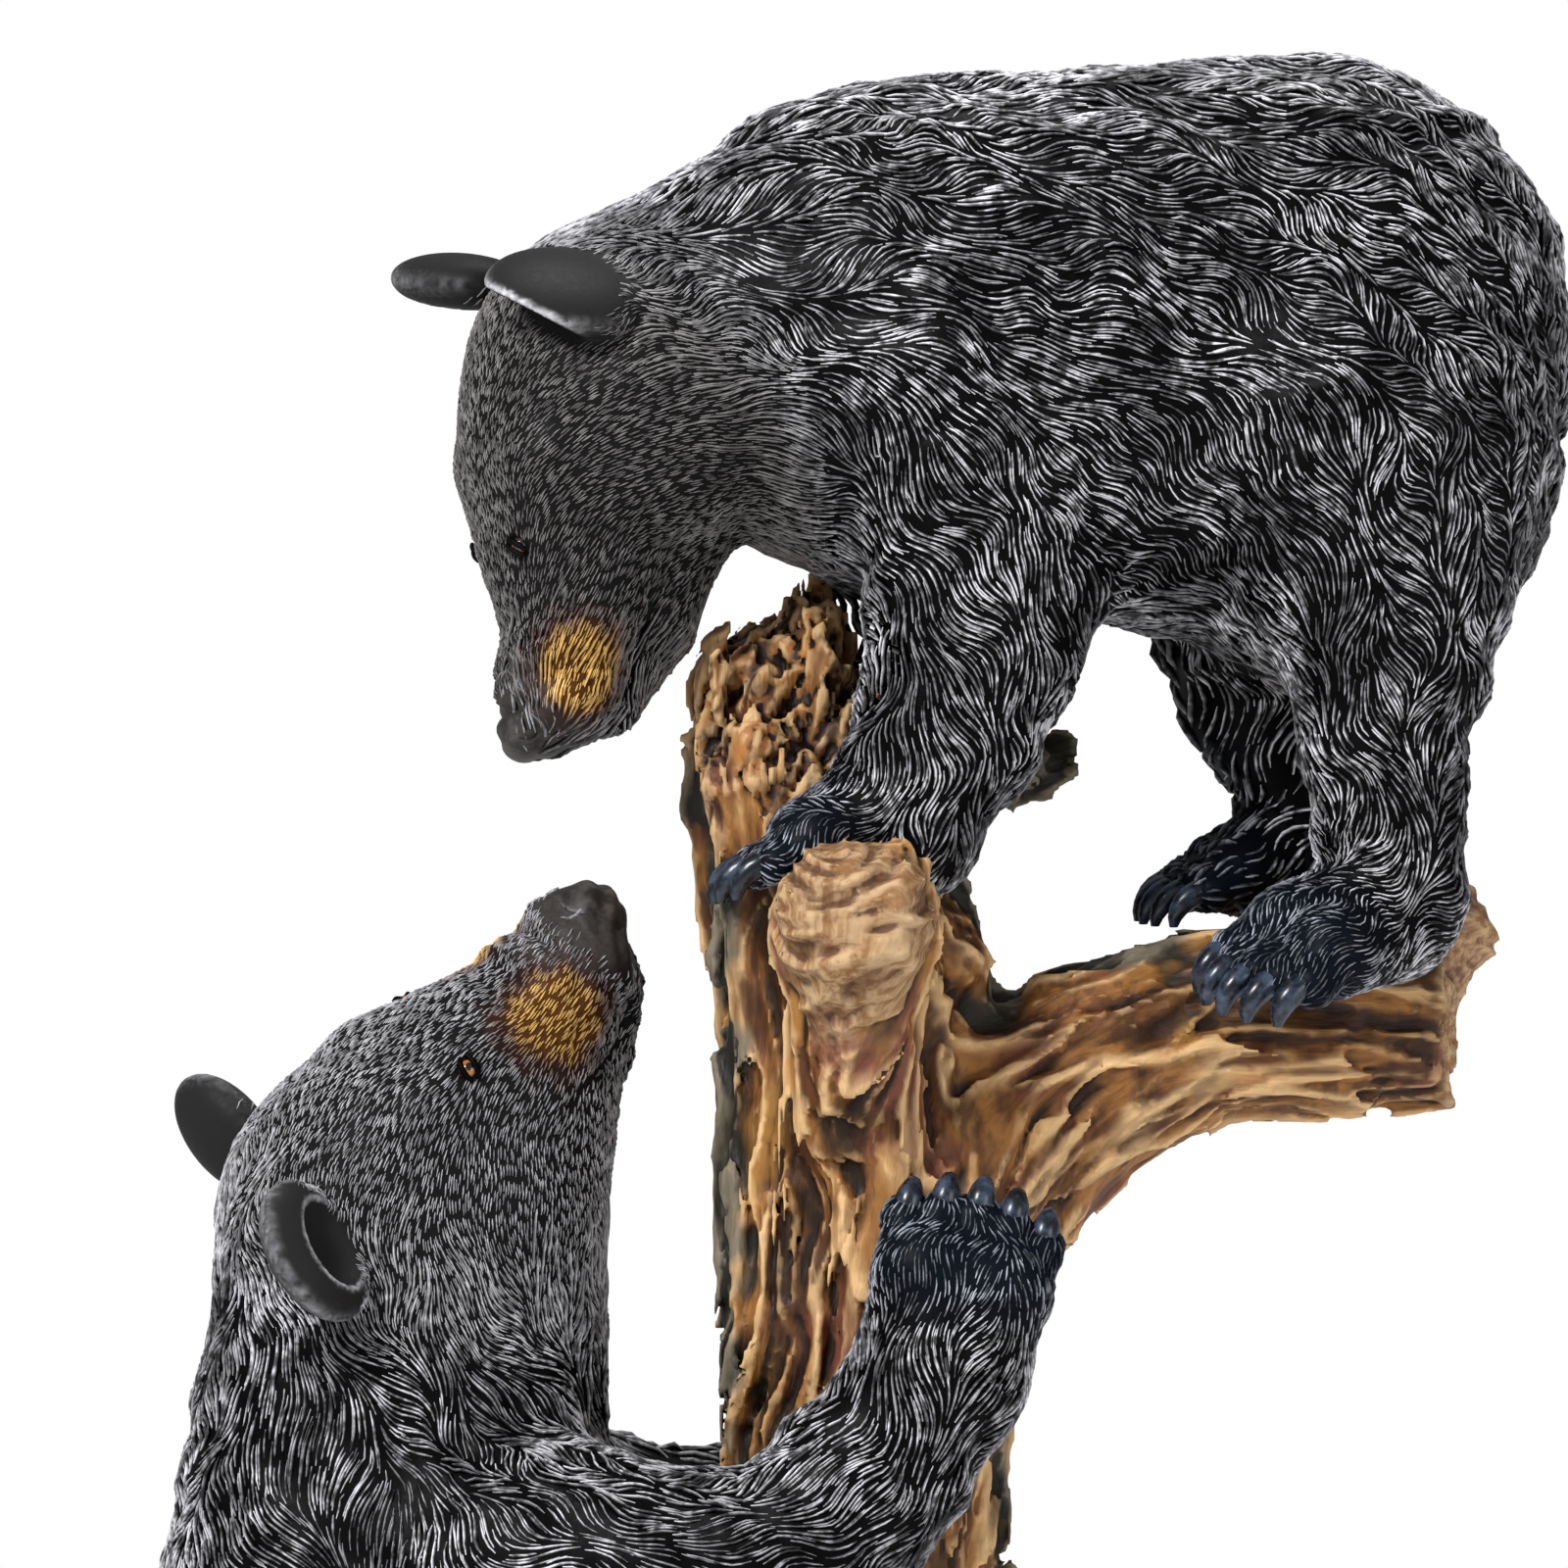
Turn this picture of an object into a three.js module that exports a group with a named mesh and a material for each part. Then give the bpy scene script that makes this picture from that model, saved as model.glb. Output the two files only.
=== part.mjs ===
// Climbing bear statue, in millimetres with +Z up.
// Two black bear cubs on a broken tree trunk with a low ground base, cast as one piece.
// The upper cub stands on a branch and a stub with its head lowered, the lower cub climbs the left side.
// -X is the side that the upper cub faces, -Y the side that the front stub points to.

import * as THREE from 'three';

// Sizes of the whole casting
const FRONT_REACH = 165;
const DEPTH_REACH = 95;
const TOP_REACH = 595;
const CELL = 4;
const TARGET_TRIANGLES = 9900;
const FAR = 60;
const REACH_PAD = 12;

// Fur locks and bark ridges that show from a step away
const LOCK_PITCH = 19;
const LOCK_WAVE = 52;
const LOCK_HEIGHT = 1.5;
const RIDGE_COUNT = 13;
const RIDGE_RADIUS = 6;
const RIDGE_TWIST = 0.9;

// How softly neighbouring forms run into each other
const BODY_BLEND = 9;
const LIMB_BLEND = 8;
const FINE_BLEND = 3;

// Vector helpers on plain triples
const add = (a, b) => [a[0] + b[0], a[1] + b[1], a[2] + b[2]];
const sub = (a, b) => [a[0] - b[0], a[1] - b[1], a[2] - b[2]];
const scale = (a, s) => [a[0] * s, a[1] * s, a[2] * s];
const dot = (a, b) => a[0] * b[0] + a[1] * b[1] + a[2] * b[2];
const cross = (a, b) => [
  a[1] * b[2] - a[2] * b[1],
  a[2] * b[0] - a[0] * b[2],
  a[0] * b[1] - a[1] * b[0],
];
const unit = (a) => scale(a, 1 / Math.hypot(a[0], a[1], a[2]));
const across = (a, n) => unit(sub(a, scale(n, dot(a, n))));

// Soft minimum: joins two distances with a fillet of about k
function softMin(a, b, k) {
  if (k <= 0) return Math.min(a, b);
  const h = Math.max(k - Math.abs(a - b), 0) / k;
  return Math.min(a, b) - h * h * k * 0.25;
}

// A limb segment: two balls and the cone between them, squeezed sideways about y = mid
function segment(a, ra, b, rb, flat = 1, mid = 0) {
  const p = [a[0], (a[1] - mid) / flat, a[2]];
  const q = [b[0], (b[1] - mid) / flat, b[2]];
  const ba = sub(q, p);
  const l2 = dot(ba, ba);
  const rr = ra - rb;
  const a2 = l2 - rr * rr;
  const thin = Math.sqrt(Math.min(1, flat));
  return {
    low: [0, 1, 2].map((i) => Math.min(a[i] - ra, b[i] - rb)),
    high: [0, 1, 2].map((i) => Math.max(a[i] + ra, b[i] + rb)),
    distance(x, y, z) {
      const px = x - p[0];
      const py = (y - mid) / flat - p[1];
      const pz = z - p[2];
      const along = px * ba[0] + py * ba[1] + pz * ba[2];
      const past = along - l2;
      const square = px * px + py * py + pz * pz;
      const x2 = Math.max(square * l2 * l2 - along * along * l2, 0);
      const y2 = along * along * l2;
      const z2 = past * past * l2;
      const k = Math.sign(rr) * rr * rr * x2;
      let d;
      if (Math.sign(past) * a2 * z2 > k) d = Math.sqrt(x2 + z2) / l2 - rb;
      else if (Math.sign(along) * a2 * y2 < k) d = Math.sqrt(x2 + y2) / l2 - ra;
      else d = (Math.sqrt((x2 * a2) / l2) + along * rr) / l2 - ra;
      return d * thin;
    },
  };
}

// An ellipsoid with its own three axes
function ball(centre, radii, axes = [[1, 0, 0], [0, 1, 0], [0, 0, 1]]) {
  const span = [0, 1, 2].map((i) => axes.reduce((s, axis, j) => s + Math.abs(axis[i]) * radii[j], 0));
  return {
    low: sub(centre, span),
    high: add(centre, span),
    distance(x, y, z) {
      const d = [x - centre[0], y - centre[1], z - centre[2]];
      let near = 0;
      let steep = 0;
      for (let j = 0; j < 3; j++) {
        const q = dot(d, axes[j]) / radii[j];
        near += q * q;
        steep += (q / radii[j]) ** 2;
      }
      near = Math.sqrt(near);
      return (near * (near - 1)) / Math.max(Math.sqrt(steep), 1e-6);
    },
  };
}

// A chain of limb segments through points [x, y, z, radius]
function chain(points, flat = 1, mid = 0) {
  const links = points.slice(1).map((b, i) => segment(points[i], points[i][3], b, b[3], flat, mid));
  return {
    low: [0, 1, 2].map((i) => Math.min(...links.map((l) => l.low[i]))),
    high: [0, 1, 2].map((i) => Math.max(...links.map((l) => l.high[i]))),
    distance: (x, y, z) => Math.min(...links.map((l) => l.distance(x, y, z))),
  };
}

// Everything past a plane, as far as reach from the point
function beyond(point, direction, reach) {
  const n = unit(direction);
  return {
    low: point.map((v) => v - reach),
    high: point.map((v) => v + reach),
    distance(x, y, z) {
      const d = [x - point[0], y - point[1], z - point[2]];
      return Math.max(-dot(d, n), Math.hypot(...d) - reach);
    },
  };
}

// Distances on a regular grid, into which the forms are blended one after the other
class Form {
  constructor(low, high) {
    this.low = low;
    this.count = [0, 1, 2].map((i) => Math.ceil((high[i] - low[i]) / CELL) + 1);
    this.value = new Float32Array(this.count[0] * this.count[1] * this.count[2]).fill(FAR);
  }

  index(i, j, k) {
    return (k * this.count[1] + j) * this.count[0] + i;
  }

  visit(low, high, change) {
    const from = low.map((v, i) => Math.max(0, Math.floor((v - this.low[i]) / CELL)));
    const to = high.map((v, i) => Math.min(this.count[i] - 1, Math.ceil((v - this.low[i]) / CELL)));
    for (let k = from[2]; k <= to[2]; k++) {
      for (let j = from[1]; j <= to[1]; j++) {
        for (let i = from[0]; i <= to[0]; i++) {
          const at = this.index(i, j, k);
          const x = this.low[0] + i * CELL;
          const y = this.low[1] + j * CELL;
          const z = this.low[2] + k * CELL;
          this.value[at] = change(this.value[at], x, y, z);
        }
      }
    }
  }

  grow(shape, blend) {
    const pad = REACH_PAD + blend;
    this.visit(shape.low.map((v) => v - pad), shape.high.map((v) => v + pad),
      (value, x, y, z) => softMin(value, shape.distance(x, y, z), blend));
  }

  carve(shape, blend) {
    const pad = REACH_PAD + blend;
    this.visit(shape.low.map((v) => v - pad), shape.high.map((v) => v + pad),
      (value, x, y, z) => -softMin(-value, shape.distance(x, y, z), blend));
  }

  join(other, blend) {
    for (let i = 0; i < this.value.length; i++) {
      this.value[i] = softMin(this.value[i], other.value[i], blend);
    }
  }
}

// A head's own axes: forward to the nose, left ear, up through the brow
function headFrame(origin, forward, left) {
  const f = unit(forward);
  const l = across(left, f);
  const u = cross(f, l);
  return {
    axes: [f, l, u],
    at: (a, b, c) => add(origin, add(scale(f, a), add(scale(l, b), scale(u, c)))),
  };
}

// Skull, cheeks, brow, box-shaped muzzle, lower jaw and nose of one cub
function growHead(form, frame) {
  const bone = (a, ra, b, rb, blend) => form.grow(segment(frame.at(...a), ra, frame.at(...b), rb), blend);
  form.grow(ball(frame.at(3, 0, -1), [31, 32, 30], frame.axes), 10);
  for (const side of [-1, 1]) {
    form.grow(ball(frame.at(5, side * 17, -7), [24, 18, 21], frame.axes), LIMB_BLEND);
  }
  bone([15, 0, 5.5], 24, [35, 0, 4.5], 19, 8);
  for (const side of [-1, 1]) {
    bone([36, side * 4, 3], 15, [63.5, side * 4, 3.5], 11, 4);
    bone([30, side * 9, 12], 9, [20, side * 14, 17], 8, 6);
  }
  bone([24, 0, -15], 15, [48, 0, -12.5], 9.8, 5);
  bone([48, 0, -12.5], 9.8, [64, 0, -7.5], 7, 4);
  form.grow(ball(frame.at(71, 0, 7), [6, 8, 7], frame.axes), 3);
}

// One ear: a flat cup from its root to its tip, hollow towards the given side
function growEar(form, root, tip, hollow, width) {
  const out = unit(sub(tip, root));
  const length = Math.hypot(...sub(tip, root));
  const open = across(hollow, out);
  const axes = [out, cross(out, open), open];
  const centre = add(root, scale(out, length * 0.45));
  form.grow(ball(centre, [length * 0.58, width, 6], axes), 4);
  const pocket = add(add(centre, scale(out, length * 0.06)), scale(open, 6.5));
  form.carve(ball(pocket, [length * 0.4, width - 4, 6.5], axes), 1.5);
}

// One paw: a broad pad that spreads from the wrist into five toes with curved claws
function growPaw(form, wrist, tip, top, wristRadius, padRadius, width, toe) {
  const way = unit(sub(tip, wrist));
  const side = unit(cross(top, way));
  const up = cross(way, side);
  const length = Math.hypot(...sub(tip, wrist));
  for (const half of [-0.28, 0.28]) {
    const pad = add(add(wrist, scale(way, length * 0.72)), scale(side, half * width));
    form.grow(segment(wrist, wristRadius, pad, padRadius), 5);
  }
  for (let i = 0; i < 5; i++) {
    const spread = i / 4 - 0.5;
    const root = add(add(wrist, scale(way, length * 0.62)), scale(side, spread * width * 0.9));
    const reach = add(scale(way, length * (1 - 0.5 * spread * spread)), scale(side, spread * width * 1.12));
    const end = add(add(wrist, reach), scale(up, -padRadius * 0.35));
    form.grow(segment(root, toe * 0.95, end, toe), 2.5);
    const claw = add(add(end, scale(way, 7)), scale(up, -toe * 0.9));
    form.grow(segment(add(end, scale(up, toe * 0.2)), toe * 0.55, claw, toe * 0.4), 1);
  }
}

// Wavy locks of fur that run along the body and hang down its sides
function combLocks(form, along, centre) {
  const down = [0, 0, -1];
  const slope = across(down, along);
  form.visit(form.low, [FRONT_REACH, DEPTH_REACH, TOP_REACH], (value, x, y, z) => {
    if (Math.abs(value) > REACH_PAD) return value;
    const p = sub([x, y, z], centre);
    const s = dot(p, along);
    const t = dot(p, slope) + 0.45 * Math.abs(p[1]);
    const bend = 5 * Math.sin((s * 2 * Math.PI) / LOCK_WAVE + t * 0.03);
    const lock = Math.sin(((t + bend + 0.35 * s) * 2 * Math.PI) / LOCK_PITCH);
    const ends = 0.6 + 0.4 * Math.sin((s * 2 * Math.PI) / 31 + Math.floor(t / LOCK_PITCH) * 2.1);
    return value - LOCK_HEIGHT * lock * ends;
  });
}

const SPAN = [[-FRONT_REACH, -DEPTH_REACH, -CELL * 1.5], [FRONT_REACH, DEPTH_REACH, TOP_REACH]];

// The upper cub: stands on all fours, faces -X, head lowered and turned a little to the front
function upperCub() {
  const form = new Form(...SPAN);
  form.grow(chain([[8, 0, 524, 51], [60, 0, 521, 58], [93, 0, 526, 54]], 0.76), BODY_BLEND);
  form.grow(chain([[8, 0, 526, 48.5], [-20, -2, 522, 38], [-46, -6, 514.5, 32]], 0.85), LIMB_BLEND);
  form.grow(chain([[96, 0, 505, 46], [95, 0, 500, 46]], 0.8), LIMB_BLEND);
  form.grow(chain([[22, -22, 512, 32], [27, -23, 488, 28], [25, -23, 466, 23], [20, -23, 446, 19.5],
    [12, -23, 430, 16.5]], 0.82, -22), BODY_BLEND);
  form.grow(chain([[18, 20, 510, 30], [16, 22, 488, 26], [12, 24, 466, 20], [8, 25, 446, 17],
    [5, 25, 432, 15]], 0.82, 20), BODY_BLEND);
  form.grow(chain([[101, -20, 502, 37], [107, -22, 465, 24], [106, -23, 445, 18], [107, -23, 428, 15.5],
    [109, -22, 412, 14]], 0.85, -22), BODY_BLEND);
  form.grow(chain([[88, 20, 496, 38], [84, 22, 466, 23], [83, 22, 448, 16.5], [90, 23, 430, 12.5],
    [92, 23, 418, 12]], 0.85, 22), BODY_BLEND);
  const frame = headFrame([-50, -7, 511], [-0.13, -0.08, -0.99], [0.36, -0.93, 0]);
  growHead(form, frame);
  combLocks(form, unit([1, 0, -0.25]), [40, 0, 520]);
  growPaw(form, [9, -23, 421], [-19, -26, 416], [-0.3, 0, 1], 14, 10.5, 20, 5);
  growPaw(form, [3, 25, 426], [-14, 27, 424], [-0.3, 0, 1], 13, 9, 20, 5);
  growPaw(form, [107, -21, 404], [82, -36, 395], [0.15, -0.2, 1], 13, 10.5, 24, 5.3);
  growPaw(form, [90, 23, 414], [66, 16, 409], [0, -0.1, 1], 11, 8.5, 18, 4.8);
  growEar(form, [-45, -24, 530], [-73, -41, 528], [-0.1, 0.55, -0.83], 15);
  growEar(form, [-72, 14, 533], [-93, 23, 532], [-0.1, 0.2, -1], 10);
  return form;
}

// The lower cub: climbs the left side with all four limbs round the trunk and looks up
function lowerCub() {
  const form = new Form(...SPAN);
  form.grow(chain([[-96, -2, 341, 35.5], [-94, -1, 316, 41], [-97, 0, 290, 44], [-93, 0, 255, 53],
    [-86, 0, 205, 56], [-78, 0, 158, 51]], 0.8), LIMB_BLEND);
  for (const side of [-1, 1]) {
    form.grow(chain([[-66, side * 24, 268, 31], [-40, side * 33, 266, 26], [-15, side * 38, 271, 21.5],
      [4, side * 39, 293, 18], [16, side * 40, 311, 17]], 0.9, side * 38), LIMB_BLEND);
    form.grow(chain([[-72, side * 26, 158, 36], [-40, side * 40, 172, 22], [-28, side * 43, 150, 17],
      [-28, side * 43, 122, 13]], 0.9, side * 40), LIMB_BLEND);
  }
  const frame = headFrame([-95, -3, 346], [0.62, -0.06, 0.78], [-0.41, 0.8, 0.45]);
  growHead(form, frame);
  form.grow(segment([-69, -4, 360], 19, [-74, -3, 322], 20), 10);
  combLocks(form, unit([0.15, 0, -1]), [-90, 0, 240]);
  for (const side of [-1, 1]) {
    growPaw(form, [-26, side * 43, 116], [-2, side * 46, 112], [0, side, 0.2], 12, 9, 20, 5);
  }
  growPaw(form, [17, -40, 314], [23, -44, 340], [0, -1, 0], 15, 12, 25, 5.5);
  growPaw(form, [17, 40, 312], [20, 44, 336], [0, 1, 0], 15, 12, 25, 5.5);
  growEar(form, [-105, -30, 338], [-117, -50, 331], [0.9, -0.35, 0.25], 15);
  growEar(form, [-123, 14, 350], [-139, 22, 366], [0.5, 0.8, 0.3], 11);
  return form;
}

// The trunk's centre line and radius from the ground to the broken top
const TRUNK = [[0, 0, 50, 40], [0, 0, 120, 33], [2, 0, 200, 28], [3, 0, 270, 26], [1, 0, 320, 26.5],
  [1, 0, 380, 26], [-6, 2, 415, 24], [-16, 5, 446, 17]];

function trunkAt(z) {
  const i = Math.max(0, Math.min(TRUNK.length - 2, TRUNK.findIndex((p) => p[2] > z) - 1));
  const t = Math.min(1, Math.max(0, (z - TRUNK[i][2]) / (TRUNK[i + 1][2] - TRUNK[i][2])));
  return TRUNK[i].map((v, j) => v + (TRUNK[i + 1][j] - v) * t);
}

// The tree: trunk with twisted ridges, branch, stubs, splintered top, roots and ground
function tree() {
  const form = new Form(...SPAN);
  form.grow(chain([[14, 0, 346, 27], [46, 2, 371, 22], [70, 4, 381, 20], [126, 4, 381, 17.5]]), LIMB_BLEND);
  form.carve(beyond([121, 0, 381], [1, -0.12, 0.05], 60), 2);
  form.grow(chain([[104, 12, 390, 17], [120, 17, 400, 11.5]]), 4);
  form.grow(chain([[0, -10, 398, 16], [-1, -66, 407, 15.5]]), 6);
  form.carve(beyond([-1, -61, 406], [0.05, -1, -0.05], 45), 9);
  form.carve(beyond([-2, -52, 417.5], [0.06, -0.5, 0.86], 30), 3);
  form.grow(chain([[-1, -40, 397, 14], [-2, -24, 362, 11]]), LIMB_BLEND);
  form.grow(chain(TRUNK), LIMB_BLEND);
  for (let i = 0; i < RIDGE_COUNT; i++) {
    const start = (i * 2 * Math.PI) / RIDGE_COUNT;
    const points = [];
    for (let z = 46; z <= 440; z += 26) {
      const [x, y, , r] = trunkAt(z);
      const turn = start + (RIDGE_TWIST * z) / 440 + 0.16 * Math.sin(z / 38 + i * 2.3);
      const swell = RIDGE_RADIUS * (1 + 0.25 * Math.sin(z / 29 + i * 1.7));
      points.push([x + (r - 2.6) * Math.cos(turn), y + (r - 2.6) * Math.sin(turn), z, swell]);
    }
    form.grow(chain(points), FINE_BLEND);
  }
  for (let i = 0; i < 22; i++) {
    const turn = i * 2.4;
    const r = 4.2 * Math.sqrt(i + 0.5);
    const x = -19 + r * Math.cos(turn) * 0.78;
    const y = 4 + r * Math.sin(turn);
    const top = 456 + (x + 19) * 0.85 + 4 * Math.sin(i * 1.7);
    form.grow(segment([x + 3, y, top - 24], 6.5, [x, y, top], 1.8), 1);
  }
  form.grow(chain([[8, 8, 426, 8], [41, 12, 434, 5.8]]), FINE_BLEND);
  for (let i = 0; i < 7; i++) {
    const turn = (i * 2 * Math.PI) / 7 + 0.35;
    const c = Math.cos(turn);
    const s = Math.sin(turn);
    form.grow(chain([[24 * c, 22 * s, 70, 24], [50 * c, 44 * s, 30, 17], [84 * c, 72 * s, 12, 11]]), 10);
  }
  form.grow(ball([0, 0, 6], [98, 84, 15]), LIMB_BLEND);
  form.carve(beyond([0, 0, 0], [0, 0, -1], 140), 0);
  return form;
}

// The skin of a form: each grid cell in six tetrahedra, each crossed by one or two triangles
function skin(form) {
  const points = [];
  const triangles = [];
  const known = new Map();
  const [nx, ny, nz] = form.count;
  const tetrahedra = [[0, 5, 1, 6], [0, 1, 2, 6], [0, 2, 3, 6], [0, 3, 7, 6], [0, 7, 4, 6], [0, 4, 5, 6]];
  const corner = [[0, 0, 0], [1, 0, 0], [1, 1, 0], [0, 1, 0], [0, 0, 1], [1, 0, 1], [1, 1, 1], [0, 1, 1]];
  const place = (at) => {
    const i = at % nx;
    const j = Math.floor(at / nx) % ny;
    const k = Math.floor(at / (nx * ny));
    return [form.low[0] + i * CELL, form.low[1] + j * CELL, form.low[2] + k * CELL];
  };
  const crossing = (a, b) => {
    const key = Math.min(a, b) * nx * ny * nz + Math.max(a, b);
    if (!known.has(key)) {
      const t = Math.min(0.96, Math.max(0.04, form.value[a] / (form.value[a] - form.value[b])));
      const p = place(a);
      known.set(key, points.length);
      points.push(add(p, scale(sub(place(b), p), t)));
    }
    return known.get(key);
  };
  for (let k = 0; k < nz - 1; k++) {
    for (let j = 0; j < ny - 1; j++) {
      for (let i = 0; i < nx - 1; i++) {
        const at = corner.map(([a, b, c]) => form.index(i + a, j + b, k + c));
        const solid = at.filter((v) => form.value[v] < 0).length;
        if (solid === 0 || solid === 8) continue;
        for (const tetrahedron of tetrahedra) {
          const v = tetrahedron.map((c) => at[c]);
          const inner = v.filter((c) => form.value[c] < 0);
          const outer = v.filter((c) => form.value[c] >= 0);
          if (inner.length === 0 || outer.length === 0) continue;
          let loop;
          if (inner.length === 1) loop = outer.map((c) => crossing(inner[0], c));
          else if (outer.length === 1) loop = inner.map((c) => crossing(c, outer[0]));
          else {
            loop = [crossing(inner[0], outer[0]), crossing(inner[0], outer[1]),
              crossing(inner[1], outer[1]), crossing(inner[1], outer[0])];
          }
          const normal = cross(sub(points[loop[1]], points[loop[0]]), sub(points[loop[2]], points[loop[0]]));
          if (dot(normal, sub(place(outer[0]), place(inner[0]))) < 0) loop.reverse();
          for (let n = 2; n < loop.length; n++) triangles.push([loop[0], loop[n - 1], loop[n]]);
        }
      }
    }
  }
  return { points, triangles };
}

// The largest connected skin: leaves out pockets that are closed in
function largest({ points, triangles }) {
  const parent = points.map((_, i) => i);
  const root = (i) => {
    while (parent[i] !== i) {
      parent[i] = parent[parent[i]];
      i = parent[i];
    }
    return i;
  };
  for (const [a, b, c] of triangles) {
    parent[root(a)] = root(b);
    parent[root(b)] = root(c);
  }
  const size = new Map();
  for (const [a] of triangles) size.set(root(a), (size.get(root(a)) ?? 0) + 1);
  const best = [...size.entries()].sort((a, b) => b[1] - a[1])[0][0];
  return { points, triangles: triangles.filter(([a]) => root(a) === best) };
}

// A binary heap of edges, cheapest first
class Queue {
  constructor() {
    this.items = [];
  }

  push(item) {
    const items = this.items;
    let i = items.push(item) - 1;
    while (i > 0) {
      const up = (i - 1) >> 1;
      if (items[up].cost <= items[i].cost) break;
      [items[up], items[i]] = [items[i], items[up]];
      i = up;
    }
  }

  pop() {
    const items = this.items;
    const top = items[0];
    const last = items.pop();
    if (items.length > 0) {
      items[0] = last;
      let i = 0;
      for (;;) {
        let least = i;
        for (const child of [2 * i + 1, 2 * i + 2]) {
          if (child < items.length && items[child].cost < items[least].cost) least = child;
        }
        if (least === i) break;
        [items[least], items[i]] = [items[i], items[least]];
        i = least;
      }
    }
    return top;
  }
}

// The squared distance to a set of planes, as ten sums
function planeSums(normal, offset, weight) {
  const [a, b, c] = normal;
  const d = offset;
  return [a * a, a * b, a * c, a * d, b * b, b * c, b * d, c * c, c * d, d * d].map((v) => v * weight);
}

function planeError(q, [x, y, z]) {
  return q[0] * x * x + 2 * q[1] * x * y + 2 * q[2] * x * z + 2 * q[3] * x + q[4] * y * y
    + 2 * q[5] * y * z + 2 * q[6] * y + q[7] * z * z + 2 * q[8] * z + q[9];
}

// The point that lies closest to all planes of q, or null where they are too alike
function bestPoint(q, start) {
  const m = [[q[0], q[1], q[2]], [q[1], q[4], q[5]], [q[2], q[5], q[7]]];
  const lift = 1e-3 * (q[0] + q[4] + q[7]);
  const rhs = [-q[3], -q[6], -q[8]].map((v, i) => v + lift * start[i]);
  for (let i = 0; i < 3; i++) m[i][i] += lift;
  const det = dot(m[0], cross(m[1], m[2]));
  if (Math.abs(det) < 1e-12) return null;
  const solve = (i) => {
    const n = m.map((row) => [...row]);
    for (let r = 0; r < 3; r++) n[r][i] = rhs[r];
    return dot(n[0], cross(n[1], n[2])) / det;
  };
  return [solve(0), solve(1), solve(2)];
}

// Merge the least telling edges until the skin has the wanted number of triangles
function simplify({ points, triangles }, wanted) {
  const around = points.map(() => new Set());
  triangles.forEach((t, i) => t.forEach((v) => around[v].add(i)));
  const alive = triangles.map(() => true);
  const stamp = points.map(() => 0);
  const sums = points.map(() => new Array(10).fill(0));
  const normalOf = (a, b, c) => cross(sub(b, a), sub(c, a));
  for (const [a, b, c] of triangles) {
    const n = normalOf(points[a], points[b], points[c]);
    const area = Math.hypot(...n);
    if (area < 1e-9) continue;
    const u = scale(n, 1 / area);
    const q = planeSums(u, -dot(u, points[a]), area);
    for (const v of [a, b, c]) q.forEach((s, i) => { sums[v][i] += s; });
  }
  const queue = new Queue();
  const offer = (a, b) => {
    const q = sums[a].map((s, i) => s + sums[b][i]);
    const middle = scale(add(points[a], points[b]), 0.5);
    const span = Math.hypot(...sub(points[a], points[b]));
    let spot = bestPoint(q, middle) ?? middle;
    if (Math.hypot(...sub(spot, middle)) > 1.2 * span) spot = middle;
    const cost = planeError(q, spot) + 0.002 * span ** 4;
    queue.push({ cost, a, b, spot, stamps: stamp[a] + stamp[b] });
  };
  const neighbours = (v) => {
    const found = new Set();
    for (const t of around[v]) for (const w of triangles[t]) if (w !== v) found.add(w);
    return found;
  };
  triangles.forEach(([a, b, c]) => {
    for (const [p, q] of [[a, b], [b, c], [c, a]]) if (p < q) offer(p, q);
  });
  const turnsOver = (v, other, spot) => {
    for (const t of around[v]) {
      const corners = triangles[t];
      if (corners.includes(other)) continue;
      const before = normalOf(...corners.map((c) => points[c]));
      const after = normalOf(...corners.map((c) => (c === v ? spot : points[c])));
      const size = Math.hypot(...after);
      if (size < 0.05 || dot(before, after) < 0.35 * Math.hypot(...before) * size) return true;
    }
    return false;
  };
  let left = triangles.length;
  while (left > wanted && queue.items.length > 0) {
    const { a, b, spot, stamps } = queue.pop();
    if (around[a].size === 0 || around[b].size === 0 || stamp[a] + stamp[b] !== stamps) continue;
    const nearA = neighbours(a);
    if (!nearA.has(b)) continue;
    const shared = [...neighbours(b)].filter((v) => nearA.has(v));
    if (shared.length !== 2 || shared.some((v) => around[v].size <= 3)) continue;
    if (turnsOver(a, b, spot) || turnsOver(b, a, spot)) continue;
    points[a] = spot;
    sums[a] = sums[a].map((s, i) => s + sums[b][i]);
    for (const t of [...around[b]]) {
      around[b].delete(t);
      if (triangles[t].includes(a)) {
        alive[t] = false;
        left -= 1;
        for (const v of triangles[t]) around[v].delete(t);
      } else {
        triangles[t] = triangles[t].map((v) => (v === b ? a : v));
        around[a].add(t);
      }
    }
    stamp[a] += 1000003;
    for (const v of neighbours(a)) offer(a, v);
  }
  return { points, triangles: triangles.filter((_, i) => alive[i]) };
}

// A closed mesh in the scene, its underside exactly flat on the ground
function meshOf(name, { points, triangles }, material) {
  const number = new Map();
  const position = [];
  for (const t of triangles) {
    for (const v of t) {
      if (number.has(v)) continue;
      number.set(v, number.size);
      const [x, y, z] = points[v];
      position.push(x, y, z < 0.6 ? 0 : z);
    }
  }
  const geometry = new THREE.BufferGeometry();
  geometry.setAttribute('position', new THREE.Float32BufferAttribute(position, 3));
  geometry.setIndex(triangles.flat().map((v) => number.get(v)));
  geometry.computeVertexNormals();
  const mesh = new THREE.Mesh(geometry, material);
  mesh.name = name;
  return mesh;
}

const cast = upperCub();
cast.join(lowerCub(), 1);
cast.join(tree(), 2);

const paintedResin = new THREE.MeshStandardMaterial({ color: 0x2b2c30, roughness: 0.5, metalness: 0 });

const statue = new THREE.Group();
statue.add(meshOf('climbing_bears_casting', simplify(largest(skin(cast)), TARGET_TRIANGLES), paintedResin));

export default statue;
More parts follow.
